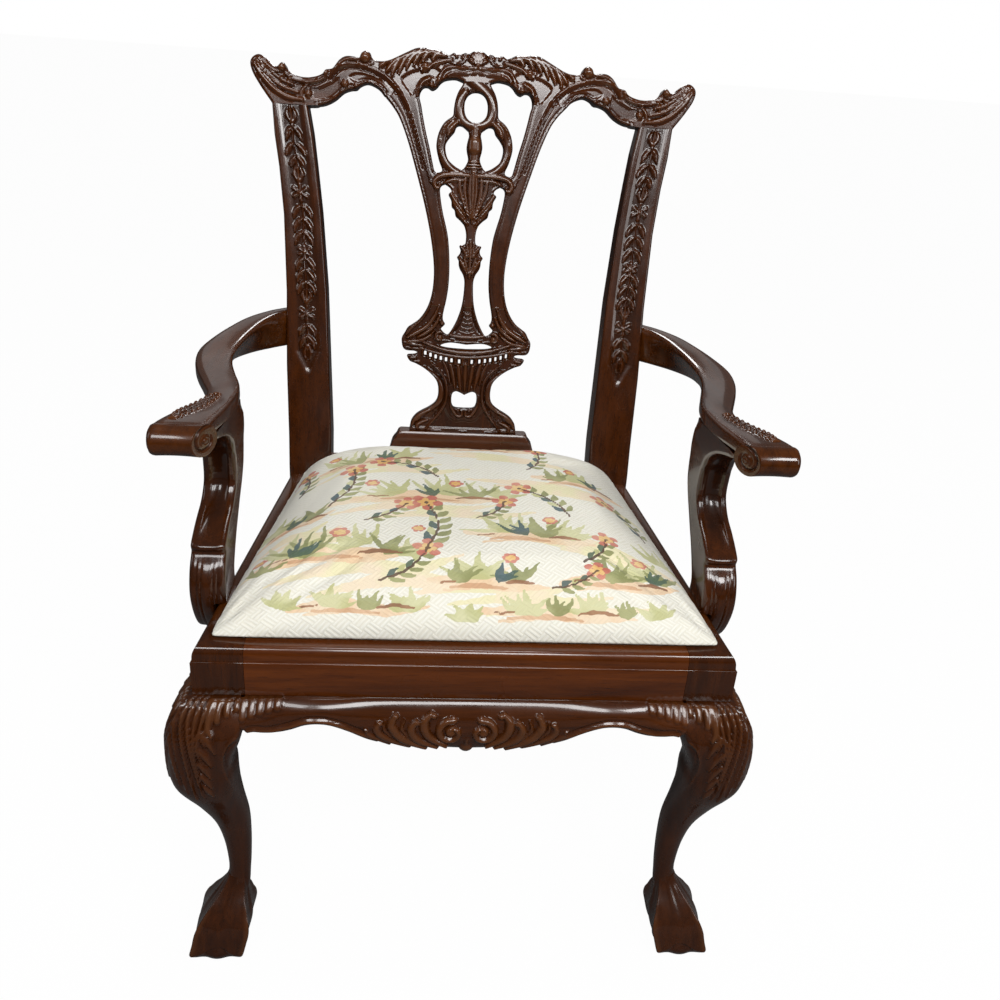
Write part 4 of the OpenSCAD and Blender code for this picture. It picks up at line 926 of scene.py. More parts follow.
carving = both([
    ([(14, 986), (10, 980), (3, 975)], [3, 3, 2], 1.2),
    # loops with leaf collars
    ([(31, 930), (41, 921), (46, 908), (46, 894), (41, 881), (30, 870), (14, 864)],
     [5, 6.6, 7, 7, 6.6, 5, 3], 2.6),
    ([(25, 929), (33, 921), (37, 911)], [3.4, 5.2, 1.6], 4.6),
    ([(34, 931), (42, 923), (45, 913)], [2.0, 2.8, 1.0], 4.2),
    ([(27, 924), (34, 916)], [.7, .7], -1.2),
    ([(47, 905), (48, 894), (44, 884)], [1.2, 2.0, 1.0], 3.8),
    # scroll arms of the acanthus
    ([(6, 863), (20, 863), (34, 862.5), (46, 860), (53, 853), (51, 845.5), (45.5, 846),
      (46, 850)], [3.2, 3.8, 3.8, 3.8, 3.6, 2.8, 2.0], 4.4),
    ([(10, 856), (22, 857), (33, 855), (40, 851)], [2.4, 3.2, 2.8, 1.4], 3.2),
    boss(48, 866, 3.0, 3.2), boss(42, 866, 2.4, 2.8),
    ([(12, 859.5), (30, 859), (44, 855.5)], [.6, .9, .6], -1.4),
    # its flutes gather to the stem
    ([(4, 862), (4.5, 840), (1.6, 808)], [2.4, 2.8, 1.2], 3.6),
    ([(11, 860), (11, 840), (3.5, 808)], [2.4, 3.2, 1.4], 3.8),
    ([(19, 856), (17, 840), (6, 812)], [2.6, 3.4, 1.4], 3.8),
    ([(31, 841), (24, 830), (9, 812)], [2.6, 3.8, 1.6], 4.2),
    ([(27, 829), (20, 819), (8, 806)], [2.2, 3.4, 1.6], 3.6),
    ([(22, 817), (14, 808), (5, 799)], [1.8, 3.0, 1.4], 3.0),
    # thistle bud
    ([(14, 771), (9, 766), (5, 757)], [1.8, 3.0, 1.6], 3.4),
    ([(5, 774), (4, 766), (3, 757)], [1.8, 2.6, 1.4], 3.6),
    ([(17, 757), (11, 749), (4, 735)], [1.8, 3.6, 1.8], 4.0),
    ([(8, 757), (6, 748), (2, 736)], [1.8, 3.0, 1.6], 4.2),
    # vase
    ([(7.4, 697), (9.6, 683), (14.5, 669), (24, 653)], [1.4, 2.0, 2.3, 2.6], 2.8),
    ([(4.6, 690), (6.6, 678), (11, 666), (18, 655)], [.6, .9, .9, .8], -1.5),
    # the base: sweeping leaves, side volutes and long curved bands
    ([(50, 706), (55, 688), (64, 673), (78, 660), (86, 650)], [1.2, 2.4, 2.8, 3.0, 2.0], 2.8),
    ([(41, 690), (47, 675), (58, 661), (74, 651), (85, 645)], [1.6, 3.2, 3.8, 3.6, 1.6], 3.6),
    ([(39, 677), (46, 664), (58, 653), (70, 646)], [2.0, 3.2, 3.4, 1.6], 3.8),
    ([(44, 672), (52, 660), (66, 652)], [.7, 1.0, .6], -1.2),
    boss(35.5, 667, 4.0, 4.4), volute(38, 647.5, 8.2, 120, 0.9, 2.8, 3.4, -1),
    boss(38, 647.5, 4.0, 4.8),
    ([(46, 656), (54, 648), (66, 642), (84, 640)], [1.4, 2.6, 3.0, 2.0], 3.2),
    ([(60, 635), (74, 636), (89, 639)], [1.6, 2.6, 1.8], 2.6),
    ([(62, 630.5), (76, 631), (87, 632.5)], [1.6, 2.2, 1.6], 2.0),
    ([(72, 618), (79, 617.5)], [2.4, 2.2], 2.2), ([(66, 613), (74, 613)], [2.4, 2.0], 2.2),
    # waist: a broad ribbon and a thin one inside it
    ([(66, 607), (52, 598), (40, 587), (34.5, 574), (35.5, 561), (45, 550), (58, 541), (68, 531)],
     [2.4, 4.4, 5.6, 5.8, 5.6, 4.8, 4.4, 3.0], 2.6),
    ([(50, 612), (37, 601), (28.5, 588), (25.5, 572), (27, 557), (34, 543), (45, 529), (54, 518)],
     [1.4, 2.2, 2.6, 2.6, 2.6, 2.4, 2.0, 1.4], 2.4),
    ([(54, 608), (41, 598), (31.5, 586), (29, 572), (30.5, 558), (38, 545), (49, 532)],
     [.6, 1.0, 1.2, 1.2, 1.2, 1.0, .6], -1.7),
    ([(22, 612), (18, 596), (14, 577)], [2.8, 3.6, 1.8], 3.0),
    ([(11, 612), (9, 596), (6, 574)], [2.8, 3.6, 1.8], 3.0),
    ([(31, 612), (26, 600), (21, 583)], [2.4, 3.0, 1.4], 2.6),
    ([(16, 610), (13, 596), (10, 580)], [.6, 1.0, .6], -1.2),
    # two small scrolls under the heart, and leaf feet
    ([(19.5, 566), (19, 554), (14, 543), (7.5, 537.5), (2.4, 540), (3, 545)],
     [1.8, 2.6, 2.8, 2.8, 2.2, 1.6], 3.4),
    boss(8, 546, 2.6, 2.8),
    ([(50, 545), (62, 539), (71, 531), (74, 523)], [2.4, 3.8, 3.8, 2.4], 3.4),
    ([(52, 531), (60, 527.5), (67, 523), (66, 518)], [1.8, 3.2, 3.0, 2.0], 3.2),
    ([(56, 535), (66, 529)], [.8, .8], -1.4)])
carving += [
    # the ring: its ribbon comes down from the left over its own end
    ([(-17, 990), (-6, 981), (8, 971), (18, 960), (23, 946), (19.5, 934), (9, 927), (-9, 927),
      (-19.5, 934), (-23, 946), (-21, 957), (-15, 967)], [7, 7.4, 7.4, 7, 6.6, 7, 7, 7, 6.8, 6.4, 5],
     2.8),
    ([(-12, 967), (-4, 969), (4, 966)], [.8, 1.2, .8], -1.8),
    # turned stem between the loops
    ([(0, 925), (0, 913)], [5, 6.4, 6.4], 3.6), ([(0, 905), (0, 897)], [9.4, 9.4], 6.0),
    ([(0, 911), (0, 887), (0, 868)], [5, 6.6, 6], 3.4),
    ([(-6.4, 880), (6.4, 880)], [1.6, 1.6], 4.6), ([(-8, 876.6), (8, 876.6)], [1.7, 1.7], 4.8),
    ([(-10, 873), (10, 873)], [1.8, 1.8], 5.0),
    ([(0, 866), (0, 838), (0, 802)], [2.6, 2.6, 1.4], 4.6),
    ([(0, 777), (0, 730)], [2.6, 4.4, 2.2], 4.0),
    ([(0, 612), (0, 594), (0, 574)], [3.0, 3.8, 1.8], 3.4),
    ([(-29, 652.5), (-14, 649.5), (0, 648.8), (14, 649.5), (29, 652.5)], [2.2, 2.8, 2.8, 2.2], 3.2),
    ([(-46, 645), (-22, 643), (0, 642), (22, 643), (46, 645)], [1.6, 2.2, 2.2, 1.6], 1.8),
    ([(-62, 640), (-32, 630.5), (0, 627), (32, 630.5), (62, 640)], [2.0, 3.0, 3.2, 3.0, 2.0], 3.0),
    ([(-66, 632), (-36, 624.5), (0, 621), (36, 624.5), (66, 632)], [1.8, 2.6, 2.8, 2.6, 1.8], 2.4)]
carving += [([(-w, z), (0, z - 1.4), (w, z)], [.8, 1.4, .8], -1.7)
            for w, z in ((2.6, 684), (4, 677.5), (5.4, 671), (7, 664.5), (9.5, 658.5))]
carving += both([([(x, 610.5 + x * x / 330), (x, 620 + x * x / 330)], [2.2, 2.0], 2.4)
                 for x in (4.5, 15, 24, 32, 39.5, 47, 54.5, 62)])
carving += both([([(100, 958), (91, 942), (84, 925), (75, 898), (67, 874), (58, 850)],
                  [1.6, 1.5, 1.4, 1.2, .6], 2.0),
                 ([(104, 955), (95, 939), (88, 922), (79, 895), (70, 868)], [1.2, 1.1, 1, .5],
                  -1.4)])


def splat_relief(x, z, gap):
    """The splat's carved height and its marks."""
    u = np.abs(x)
    foot_panel = np.array([(0, 534), (9, 531), (20, 536), (29, 549), (38, 535), (50, 518), (0, 516)])
    flat = sunk(u, z, foot_panel, 1.8)
    cut = carve(x, z, carving)
    leafy = soft_step(cut, 0.2, 1.2)
    strap = (z > 690) * (u > 27) * soft_step(z - 690, 0, 20)
    edge = -0.75 * np.exp(-((gap - 4.2) / 0.9) ** 2) * strap
    ground = -1.2 * (z < 690) * (1 - strap) * (z > 520)
    height = cut + (flat + edge + ground) * (1 - leafy)
    height *= soft_step(gap, 0, 1.6) * 0.8 + 0.2
    # Grooves and the sunk ground are marked dark, and the creases where the strokes rise from the ground
    # darker still, as dirt and painted shade; raised strokes are marked light as wear.
    mark = np.where(cut > 0.3, cut / 4.0 - 0.12, np.minimum((edge + cut) / 1.6, 0)
                    + flat * 0.05 + ground * 0.25)
    crease_dirt_and_shade = np.exp(-((cut - 0.7) / 0.6) ** 2) * (cut > 0.02)
    return height, mark - 0.6 * crease_dirt_and_shade


splat = slab("fretted_splat", splat_line, voids, 1.35, lambda x, z: 0 * x + 13.6, splat_relief,
             lambda x, z: ((z > 955) & (np.abs(x) > 76)) | ((z > 979) & (np.abs(x) < 18.5)),
             2.2, 2.2)
polish(splat, upright_wood)
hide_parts("splat")

shoe_rings = []
for front_y, half_wide, z in ((440.6, 107.6, 468), (440.5, 108, 469), (440.5, 107, 478),
                              (441.5, 106, 484), (442.6, 104.8, 489), (445, 103.6, 494),
                              (445.5, 102, 499), (446, 99.5, 503), (447, 96.5, 506.5),
                              (448.2, 95, 510), (449.2, 93.6, 513), (450.6, 91.8, 514.8)):
    ring = bar_ring(-half_wide, half_wide, front_y, 468.4 if z < 514 else 467.4, 2.5, 30, 3)
    shoe_rings.append(np.column_stack([ring, 0 * ring[:, 0] + z]))
points, faces = skin(shoe_rings)
shoe = new_piece("splat_shoe", points, faces, crisp=35)
polish(shoe, carved_wood)
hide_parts("shoe")

# ---- Arms and their supports -----------------------------------------------------------------
# Each arm sweeps out and forward from the post, flattens to a broad smooth top and ends in a
# roll with a spiral on each end. Its support is sawn to a double curve, hollowed down the front.

arm_form = [(253.5, 488, 253.5, 521, 14, 50, 0), (266, 470, 280, 501, 15, 49, .15),
            (276, 440, 306, 465, 16, 47, .45), (284, 400, 324, 420, 18, 42, .6),
            (290, 362, 336, 376, 20, 36, .45), (293, 328, 341, 335, 21, 30, .25),
            (290, 292, 336, 293, 21, 25, .1), (280, 250, 324, 250, 20, 22, 0),
            (267, 205, 308, 205, 17.5, 20.5, 0), (261, 165, 295, 165, 14.5, 20, 0),
            (260, 130, 292.5, 130, 11.5, 19, 0), (260, 98, 299, 98, 7.5, 19, 0),
            (262, 62, 309.5, 62, 3, 19, 0), (264, 34, 316, 34, .4, 19, 0),
            (264.5, 22, 316, 22, 0, 16, 0)]
arm_path = curve(arm_form, 12)
arm_top = 687
arm_rings = []
for x0, y0, x1, y1, drop, height, cut in arm_path:
    a = np.radians(np.arange(0, 360, 5) + 2.5)
    u = 0.5 + 0.5 * powered(np.cos(a), 0.44)
    v = 0.5 - 0.5 * powered(np.sin(a), 0.44)
    w = u + (1 - u) * cut * v
    crown = 1.3 * (1 - (2 * u - 1) ** 2) * (v < 0.5) - 1.3
    arm_rings.append(np.column_stack([x0 + (x1 - x0) * w, y0 + (y1 - y0) * w,
                                      arm_top - drop - v * height + crown]))
arm_rings = np.array(arm_rings)

# A long leaf lies on the top behind the roll, in an oval of beads; s runs back along it
leaf_place = [([(-36, 0), (0, 0.6), (40, 0)], [1.6, 2.6, 0.9], 2.2)]
for k in range(6):
    s = -30 + 12 * k
    reach = 6.4 - 0.5 * abs(k - 2)
    leaf_place += [([(s + 9, 1.2 * hand), (s + 3, 0.7 * reach * hand), (s - 4, reach * hand)],
                    [1.2, 2.2, 1.0], 1.7) for hand in (-1, 1)]
for k in range(26):
    a = 2 * math.pi * k / 26
    leaf_place.append(boss(50 * math.cos(a) + 2 * math.cos(3 * a), 9.8 * math.sin(a), 2.6, 1.9))
leaf_place.append(([(-57, -6), (-54, -1), (-55, 5)], [1.6, 2.4, 1.4], 2.0))
s, t = np.meshgrid(np.arange(-57, 57.1, 0.9), np.arange(-15.3, 15.4, 0.9), indexing="ij")
leaf_x = 288 - 0.2 * s + 0.98 * t
leaf_y = 92 + 0.98 * s + 0.2 * t
order = np.argsort(arm_path[:, 1])
left, right, drop, height = (np.interp(leaf_y, arm_path[order, 1], arm_path[order, k])
                             for k in (0, 2, 4, 5))
u = np.abs(2 * (leaf_x - left) / (right - left) - 1).clip(0, 0.999)
leaf_z = arm_top - drop - 1.3 * u * u - height * 0.5 * (1 - (1 - u ** 4.545) ** 0.22)
leaf_depth = carve(s.ravel(), t.ravel(), leaf_place).reshape(s.shape)
edge = ((s / 55) ** 2 + (t / 14) ** 2 - 0.86).clip(0, 1)
bed = np.clip(4 - 4 * (s / 49) ** 2 - 4 * (t / 8.4) ** 2, 0, 1)
leaf_points = np.stack([leaf_x, leaf_y, leaf_z + leaf_depth - 0.9 * bed + 0.5 - 6 * edge], 2)
# The sunk bed round the leaf is marked dark as dirt and painted shade; the leaf's raised strokes are marked
# light as wear.
leaf_mark = leaf_depth / 2.0 - 0.9 * bed

roll_rings = []
roll_inner, roll_outer = 263.6, 316.6
roll_y, roll_z = 20, 671.5
a = np.radians(np.arange(0, 360, 4))
for t in np.linspace(0, 1, 37):
    r = 16 - 1.0 * (1 - (2 * t - 1) ** 2) - 5 * (1 - math.sqrt(1 - max(0, t - 0.86) ** 2 / 0.0197))
    cut = (1 - t) * (2.5 - 0.56 * r * np.cos(a))
    roll_rings.append(np.column_stack([roll_inner + (roll_outer - roll_inner) * t + cut,
                                       roll_y + r * np.cos(a), roll_z + r * np.sin(a)]))


def scroll_face(end, hand, reach, slant=0.0):
    """The end of the roll: a groove that winds in from the top to a raised, turned eye."""
    face_rings, face_marks = [], []
    for share in np.linspace(1, 0.02, 30):
        groove = 0 * a
        for turn in (0, 360):
            way = np.degrees(a) + turn
            line = np.interp(way, [55, 90, 180, 270, 370, 440], [1.06, 0.88, 0.66, 0.57, 0.52, 0.46])
            deep = np.interp(way, [50, 75, 330, 440], [0, 1, 0.9, 0])
            groove = np.maximum(groove, deep * np.exp(-((share - line) / 0.075) ** 2))
        eye = 1.8 * max(0, math.cos(min(share / 0.42, 1) * math.pi / 2)) ** 0.6
        eye -= 0.9 * math.exp(-((share - 0.2) / 0.035) ** 2)
        r = reach * share
        x = end + hand * (0.5 - 2.6 * groove + eye) + slant * (2.5 - 0.56 * r * np.cos(a))
        face_rings.append(np.column_stack([x, roll_y + r * np.cos(a), roll_z + r * np.sin(a)]))
        # The spiral groove is marked dark as dirt and painted shade.
        face_marks.append(-groove)
    return face_rings, face_marks


def arm_under(y):
    """The arm's underside at y."""
    return arm_top - np.interp(y, arm_path[order, 1], arm_path[order, 4] + arm_path[order, 5])


support_front = curve([(132, 388), (113, 400), (98, 420), (87, 447), (86, 468), (93, 488),
                       (103, 501), (101, 507), (103, 513), (128, 529), (150, 541), (165, 562),
                       (158, 593), (145, 610), (131, 625), (107, 640), (78, 651), (48, 660)], 4)
support_back = curve([(163, 388), (164, 405), (158, 425), (148, 445), (146, 462), (156, 479),
                      (171, 497), (192, 520), (214, 557), (217, 579), (213, 600), (205, 622),
                      (196, 649)], 4)
support_inner = curve([(276, 380), (272.5, 450), (272, 513), (270, 545), (267, 592), (263, 625),
                       (262, 680)], 4)
support_outer = curve([(312, 380), (312, 450), (310, 513), (307, 545), (304, 592), (298, 625),
                       (293, 680)], 4)
support_rings = []
support_marks = []
across = 26
for z in np.concatenate([np.arange(388, 664, 1.6), [664]]):
    y0, y1 = (np.interp(z, p[:, 1], p[:, 0]) for p in (support_front, support_back))
    x0, x1 = (np.interp(z, p[:, 1], p[:, 0]) for p in (support_inner, support_outer))
    ring = bar_ring(x0, x1, y0, max(y1, y0 + 12), 5.0, across, 10)
    u = np.linspace(-1, 1, across + 1)
    hollow = 4.2 * soft_step(z, 512, 540) * (1 - soft_step(z, 628, 655))
    lobe = 2.6 * (1 - soft_step(z, 478, 500))
    lip = 1.8 * math.exp(-((z - 507) / 3.5) ** 2)
    depth = -hollow * (1 - (u / 0.8) ** 2).clip(0) ** 0.7 + lobe * (1 - u * u) + lip * (1 - u ** 4)
    depth -= lobe * 0.5 * (np.exp(-((np.abs(u) - 0.45) / 0.07) ** 2)
                           + np.exp(-((np.abs(u) - 0.8) / 0.06) ** 2))
    depth += 0.5 * hollow / 4.2 * np.exp(-((np.abs(u) - 0.86) / 0.07) ** 2)
    mark = np.zeros(len(ring))
    # The hollow down the front is marked dark as dirt and painted shade.
    mark[:across + 1] = np.minimum(depth, 0) / 5
    ring[:across + 1, 1] -= depth
    if z < 445.6:
        ring[:, 0] = np.maximum(ring[:, 0], side_x(ring[:, 1]) + 0.3)
    inside = np.interp(ring[:, 1], arm_path[order, 1], arm_path[order, 0])
    ring[:, 0] = np.maximum(ring[:, 0], inside - 16 * (1 - soft_step(z, 596, 646)))
    level = np.minimum(z, arm_under(ring[:, 1]) - 0.35)
    support_rings.append(np.column_stack([ring, level]))
    support_marks.append(mark)

inner_face, inner_mark = scroll_face(roll_inner, -1, 15.4, 1)
outer_face, outer_mark = scroll_face(roll_outer, 1, 10.6)
roll = inner_face[::-1] + roll_rings + outer_face
roll_mark = inner_mark[::-1] + [0 * a] * len(roll_rings) + outer_mark
rows, count = leaf_mark.shape
for side, word in ((1, "right"), (-1, "left")):
    points, faces, relief = joined([(arm_rings, np.zeros(arm_rings.shape[:2])),
                                    (roll, roll_mark)], side)
    for first in range(len(points), len(points) + (rows - 1) * count, count):
        faces += [(j, j + 1, j + 1 + count, j + count) for j in range(first, first + count - 1)]
    points = np.vstack([points, leaf_points.reshape(-1, 3) * (side, 1, 1)])
    relief = np.append(relief, leaf_mark)
    arm = new_piece("swept_arm_" + word, points, faces, relief=relief)
    polish(arm, lengthwise_wood)
    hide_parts("arm_" + word)
    points, faces, relief = joined([(support_rings, support_marks)], side)
    stump = new_piece("arm_stump_" + word, points, faces, relief=relief)
    polish(stump, upright_wood)
    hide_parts("arm_support_" + word)

# ---- Corner blocks, screws and plugs ----------------------------------------------------------
# Beech blocks are screwed into the corners inside the rails, below the ledge.
# Steel screws hold them, the arms and the arm supports; wooden plugs hide the arms' screw heads.

beech = (0.52, 0.31, 0.150), (0.33, 0.170, 0.075)
beech_wood = wood("beech", "X", *beech, gloss=0.5, coat=0.0)
polish(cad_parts["corner_blocks"], beech_wood)


def metal(name):
    """Bright drawn steel with turning marks and dull stains."""
    finish, tree, shader, place = new_finish(name)
    marks = noise(tree, place, 900, 4)
    tone = ramp(tree, noise(tree, place, 120), (0.35, (0.30, 0.27, 0.23)), (0.62, (0.62, 0.60, 0.56)))
    fill(tree, shader, {"Metallic": 1.0, "Base Color": tone,
                        "Roughness": spread(tree, marks, 0, 1, 0.22, 0.5),
                        "Normal": bumps(tree, marks, 0.15, 0.0003)})
    return finish


steel = metal("screw_steel")
for name in ("corner_block_screws", "support_screws", "arm_screws"):
    polish(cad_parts[name], steel)
polish(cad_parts["screw_plugs"], upright_wood)

# ---- Drop-in seat: frame, webbing and hessian --------------------------------------------------
# A loose beech frame lies on the rails' ledge. Jute webbing is strained over it both ways and
# tacked, one layer on the other, and a sheet of hessian is stretched over the webbing.

for name in ("slip_front_rail", "slip_rear_rail", "slip_side_rail_left", "slip_side_rail_right"):
    grain = beech_wood if "side" not in name else wood("beech_" + name, "Y", *beech, 0.5, 0.0)
    polish(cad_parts[name], grain)


def woven(name, light, dark, threads, fuzz=0.3):
    """Plain woven cloth: threads to the metre across and along, uneven and a little fuzzy."""
    finish, tree, shader, place = new_finish(name)
    weave = reckon(tree, "MULTIPLY", *(put(
        tree, "TexWave", {"Vector": place, "Scale": threads / 6.28 * 2, "Distortion": 1.2,
                          "Detail Scale": 1.5}, bands_direction=way).outputs["Fac"]
        for way in ("X", "Y")))
    cloudy = noise(tree, place, 60, 5)
    tone = ramp(tree, reckon(tree, "MULTIPLY_ADD", weave, 0.6, cloudy), (0.35, dark), (0.95, light))
    fill(tree, shader, {"Base Color": tone, "Roughness": spread(tree, cloudy, 0, 1, 0.75, 0.95),
                        "Sheen Weight": fuzz, "Specular IOR Level": 0.2,
                        "Normal": bumps(tree, weave, 0.5, 0.0005)})
    return finish


inset = 25                  # from the rails' outer faces to the loose seat
seat_back = 439


def seat_x(y, inward=0.0):
    """The loose seat's side at y, or a line so far inside it."""
    return side_x(y, inset + inward)


band_section = [(-1, 0), (-0.96, 1), (-0.3, 1.1), (0.3, 1.1), (0.96, 1), (1, 0), (0.3, -0.1),
                (-0.3, -0.1)]


def band(start, end, side, low, pace, first, hand):
    """Rings and marks of a strained band, which rises and dips a little where others cross it."""
    rings = []
    for t in np.arange(65) / 64:
        middle = np.array(start) + (np.array(end) - start) * t
        rise = hand * 0.25 * math.cos(math.pi * (middle - first) @ pace)
        rings.append([middle + np.array(side) * s * 25 + (0, 0, low + rise + 0.9 * max(h, 0))
                      for s, h in band_section])
    return rings, np.zeros((len(rings), len(band_section)))


jute = woven("jute_webbing", (0.46, 0.33, 0.19), (0.20, 0.13, 0.07), 420)
crosswise = [((-seat_x(y, 9), y, 0), (seat_x(y, 9), y, 0)) for y in (128.5, 232, 335.5)]
lengthwise = [((x, 33.5, 0), (x, 430.5, 0)) for x in (-150, -50, 50, 150)]
for kind, runs, side, low, first, gap in (
        ("crosswise", crosswise, (0, 1, 0), 440.5, (-150, 0, 0), 100),
        ("lengthwise", lengthwise, (1, 0, 0), 441.3, (0, 128.5, 0), 103.5)):
    way = 1 - np.array(side) - (0, 0, 1)
    points, faces = joined([band(start, end, side, low, way / gap, first, (-1) ** k)
                            for k, (start, end) in enumerate(runs)])[:2]
    webbing = new_piece("webbing_" + kind, points, faces, body="drop_in_seat")
    webbing.data.materials.append(jute)
    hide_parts("webbing_" + kind)


def flat_cloth(name, outline, low, thick, material, sag):
    """A strained sheet over an outline, with small sags between its tacks."""
    rings = []
    middle = np.mean(outline, 0)
    edge = np.array(outline)
    for s in np.concatenate([[1.0, 0.985], np.linspace(0.94, 0.05, 16)]):
        x, y = (middle + (edge - middle) * s).T
        dip = sag * (np.sin(x / 31) * np.sin(y / 27)) * min(1, 6 * (1 - s))
        rings.append(np.column_stack([x, y, low + thick + dip]))
    under = [r - (0, 0, thick) for r in rings[::-1]]
    points, faces = skin([*under, *rings])
    sheet = new_piece(name, points, faces, body="drop_in_seat")
    sheet.data.materials.append(material)
    x, y = edge.T
    area = 0.5 * abs(np.sum(x * np.roll(y, -1) - y * np.roll(x, -1))) / 1e6
    return sheet, (float(np.ptp(x)) / 1000, float(np.ptp(y)) / 1000), area


def seat_corners(front, back, inward, turn_in=0.0):
    """The loose seat's four corners between two lines across it, drawn in from its sides."""
    left, right = seat_x(front, inward), seat_x(back, inward)
    return [(-left, front + turn_in), (left, front + turn_in), (right, back - turn_in),
            (-right, back - turn_in)]


def along_line(corners, step=14, count=None):
    """Places along a closed outline of straight sides, at a step or so many to a side."""
    out = []
    for a, b in zip(corners, corners[1:] + corners[:1]):
        n = count or max(1, int(math.dist(a, b) / step))
        out += [(a[0] + (b[0] - a[0]) * k / n, a[1] + (b[1] - a[1]) * k / n) for k in range(n)]
    return out


sacking = woven("hessian", (0.50, 0.37, 0.22), (0.24, 0.16, 0.085), 700)
hessian, flat, area = flat_cloth("hessian_sheet", along_line(seat_corners(31, 433, 6)), 442.75,
                                 0.5, sacking, 0.12)
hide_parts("hessian")

# ---- Drop-in seat: the cushion ----------------------------------------------------------------
# Horsehair and wadding in calico, crowned high and covered in a cream cloth with a raised
# woven fret, printed with leafy sprigs and blossom, drawn down over the frame's edges.


def fullness(u, v):
    """How full the stuffing is at shares u across and v back of the seat."""
    side_share = np.sqrt(np.clip(1 - np.abs(u) ** 4, 0, 1))
    front_share = np.clip(1 - np.clip(-v, 0, 1) ** 5, 0, 1) ** 0.4
    back_share = np.clip(1 - np.clip(v, 0, 1) ** 14, 0, 1) ** 0.2
    return side_share * np.where(v < 0, front_share, back_share)


def seat_top(u, v):
    """The stuffing's top at shares u across and v back of the seat."""
    y = inset + 1 + (v + 1) / 2 * (seat_back - inset - 2)
    return np.column_stack([u * seat_x(y, 1), y, rail_top + crown_height * fullness(u, v)])


crown_height = 68
edge_count = 56
cushion_rings = []
for s in np.concatenate([np.sin(np.linspace(math.pi / 2, 0.12, 34)), [0.05]]):
    t = 2 * np.arange(edge_count) / edge_count - 1
    u = np.concatenate([t, 0 * t + 1, -t, 0 * t - 1]) * s
    v = np.concatenate([0 * t - 1, t, 0 * t + 1, -t]) * s
    cushion_rings.append(seat_top(u, v))
bottom = cushion_rings[0] * (1, 1, 0) + (0, 0, rail_top - 1.2)
points, faces = skin([bottom] + cushion_rings)
cushion = new_piece("seat_cushion", points, faces, body="drop_in_seat", crisp=80)


def applied(piece):
    """The piece's mesh with its modifiers in it."""
    graph = bpy.context.evaluated_depsgraph_get()
    graph.update()
    mesh = bpy.data.meshes.new_from_object(piece.evaluated_get(graph))
    piece.modifiers.clear()
    old = piece.data
    piece.data = mesh
    bpy.data.meshes.remove(old)


def places_of(mesh):
    """The mesh's places as rows of x, y and z."""
    places = np.empty(len(mesh.vertices) * 3, np.float32)
    mesh.vertices.foreach_get("co", places)
    return places.reshape(-1, 3).astype(float)


even = cushion.modifiers.new("even", "REMESH")
even.mode = "VOXEL"
even.voxel_size = 0.0046
even.use_smooth_shade = True
applied(cushion)
before = places_of(cushion.data)
low_rim = [i for i, p in enumerate(before) if p[2] < 0.4475]
cushion.vertex_groups.new(name="tacked").add(low_rim, 1.0, "REPLACE")
cloth = cushion.modifiers.new("puff", "CLOTH")
cloth.settings.quality = 5
cloth.settings.mass = 0.3
cloth.settings.tension_stiffness = 18
cloth.settings.compression_stiffness = 12
cloth.settings.bending_stiffness = 1.2
cloth.settings.use_pressure = True
cloth.settings.uniform_pressure_force = 4
cloth.settings.effector_weights.gravity = 0
cloth.settings.vertex_group_mass = "tacked"
cloth.point_cache.frame_start = 1
cloth.point_cache.frame_end = 20
for step in range(1, 21):
    bpy.context.scene.frame_set(step)
applied(cushion)
after = places_of(cushion.data)
move = after - before
size = np.linalg.norm(move, axis=1, keepdims=True)
after = before + move * np.minimum(1, 0.0055 / np.maximum(size, 1e-9))
cushion.vertex_groups.clear()
# The cloth stays inside the rim's rebate, and dips a little where the stuffing has settled
x, y, z = (after * 1000).T
y = y - front_face
limit = seat_x(np.clip(y, inset, seat_back), 0.3)
front_edge, back_edge = inset + 0.3, seat_back - 0.3
rise = z - rail_top
x = np.clip(x, -limit, limit)
y = np.clip(y, front_edge, back_edge)
tight = np.clip((7 - rise) / 5, 0, 1)
x += np.sign(x) * np.where(limit - np.abs(x) < 7, limit - np.abs(x), 0) * tight
y += np.where(y < inset + 7, front_edge - y, np.where(y > seat_back - 7, back_edge - y, 0)) * tight
# Above the rails' top edge the stuffing swells out a little over them
over = np.clip((rise - 0.4) / 3, 0, 1) * (1 - np.clip((rise - 20) / 50, 0, 1))
swell = np.clip(1 - (limit - np.abs(x)) / 70, 0, 1) ** 2 * np.interp(y, [25, 200, 440], [12, 8, 2])
x += np.sign(x) * over * swell
y -= over * 8 * np.clip(1 - (y - inset) / 70, 0, 1) ** 2
share = np.clip((rise - 3) / 30, 0, 1)
z = z - share * (0.9 * (1 + np.sin(x / 47 + 1.1) * np.cos(y / 39)) + 0.35 * np.sin((x + y) / 17))
z = np.minimum(z, rail_top + 73.4)
after = np.column_stack([x, y + front_face, z]) / 1000
cushion.data.vertices.foreach_set("co", after.astype(np.float32).ravel())
finer = cushion.modifiers.new("finer", "SUBSURF")
finer.levels = 1
finer.render_levels = 1
applied(cushion)
cushion.data.shade_smooth()

# The print is drawn on the cloth in strokes: each colour has its own, laid one over the other


def spray(x, y, size, turn, blades, fan, width):
    """A tuft of pointed leaves that fan out from one root."""
    out = []
    for k in range(blades):
        a = math.radians(turn + fan * (k / max(1, blades - 1) - 0.5) * 2)
        reach = size * (0.72 + 0.28 * math.cos(2.3 * k + x))
        bow = 0.16 * math.sin(1.7 * k + y) + 0.0025 * (turn - math.degrees(a))
        tip = (x + reach * math.cos(a + bow), y + reach * math.sin(a + bow))
        mid = (x + 0.5 * reach * math.cos(a), y + 0.5 * reach * math.sin(a))
        out.append(([(x, y), mid, tip], [0.35 * width, width, 0.5], 1.0))
    return out


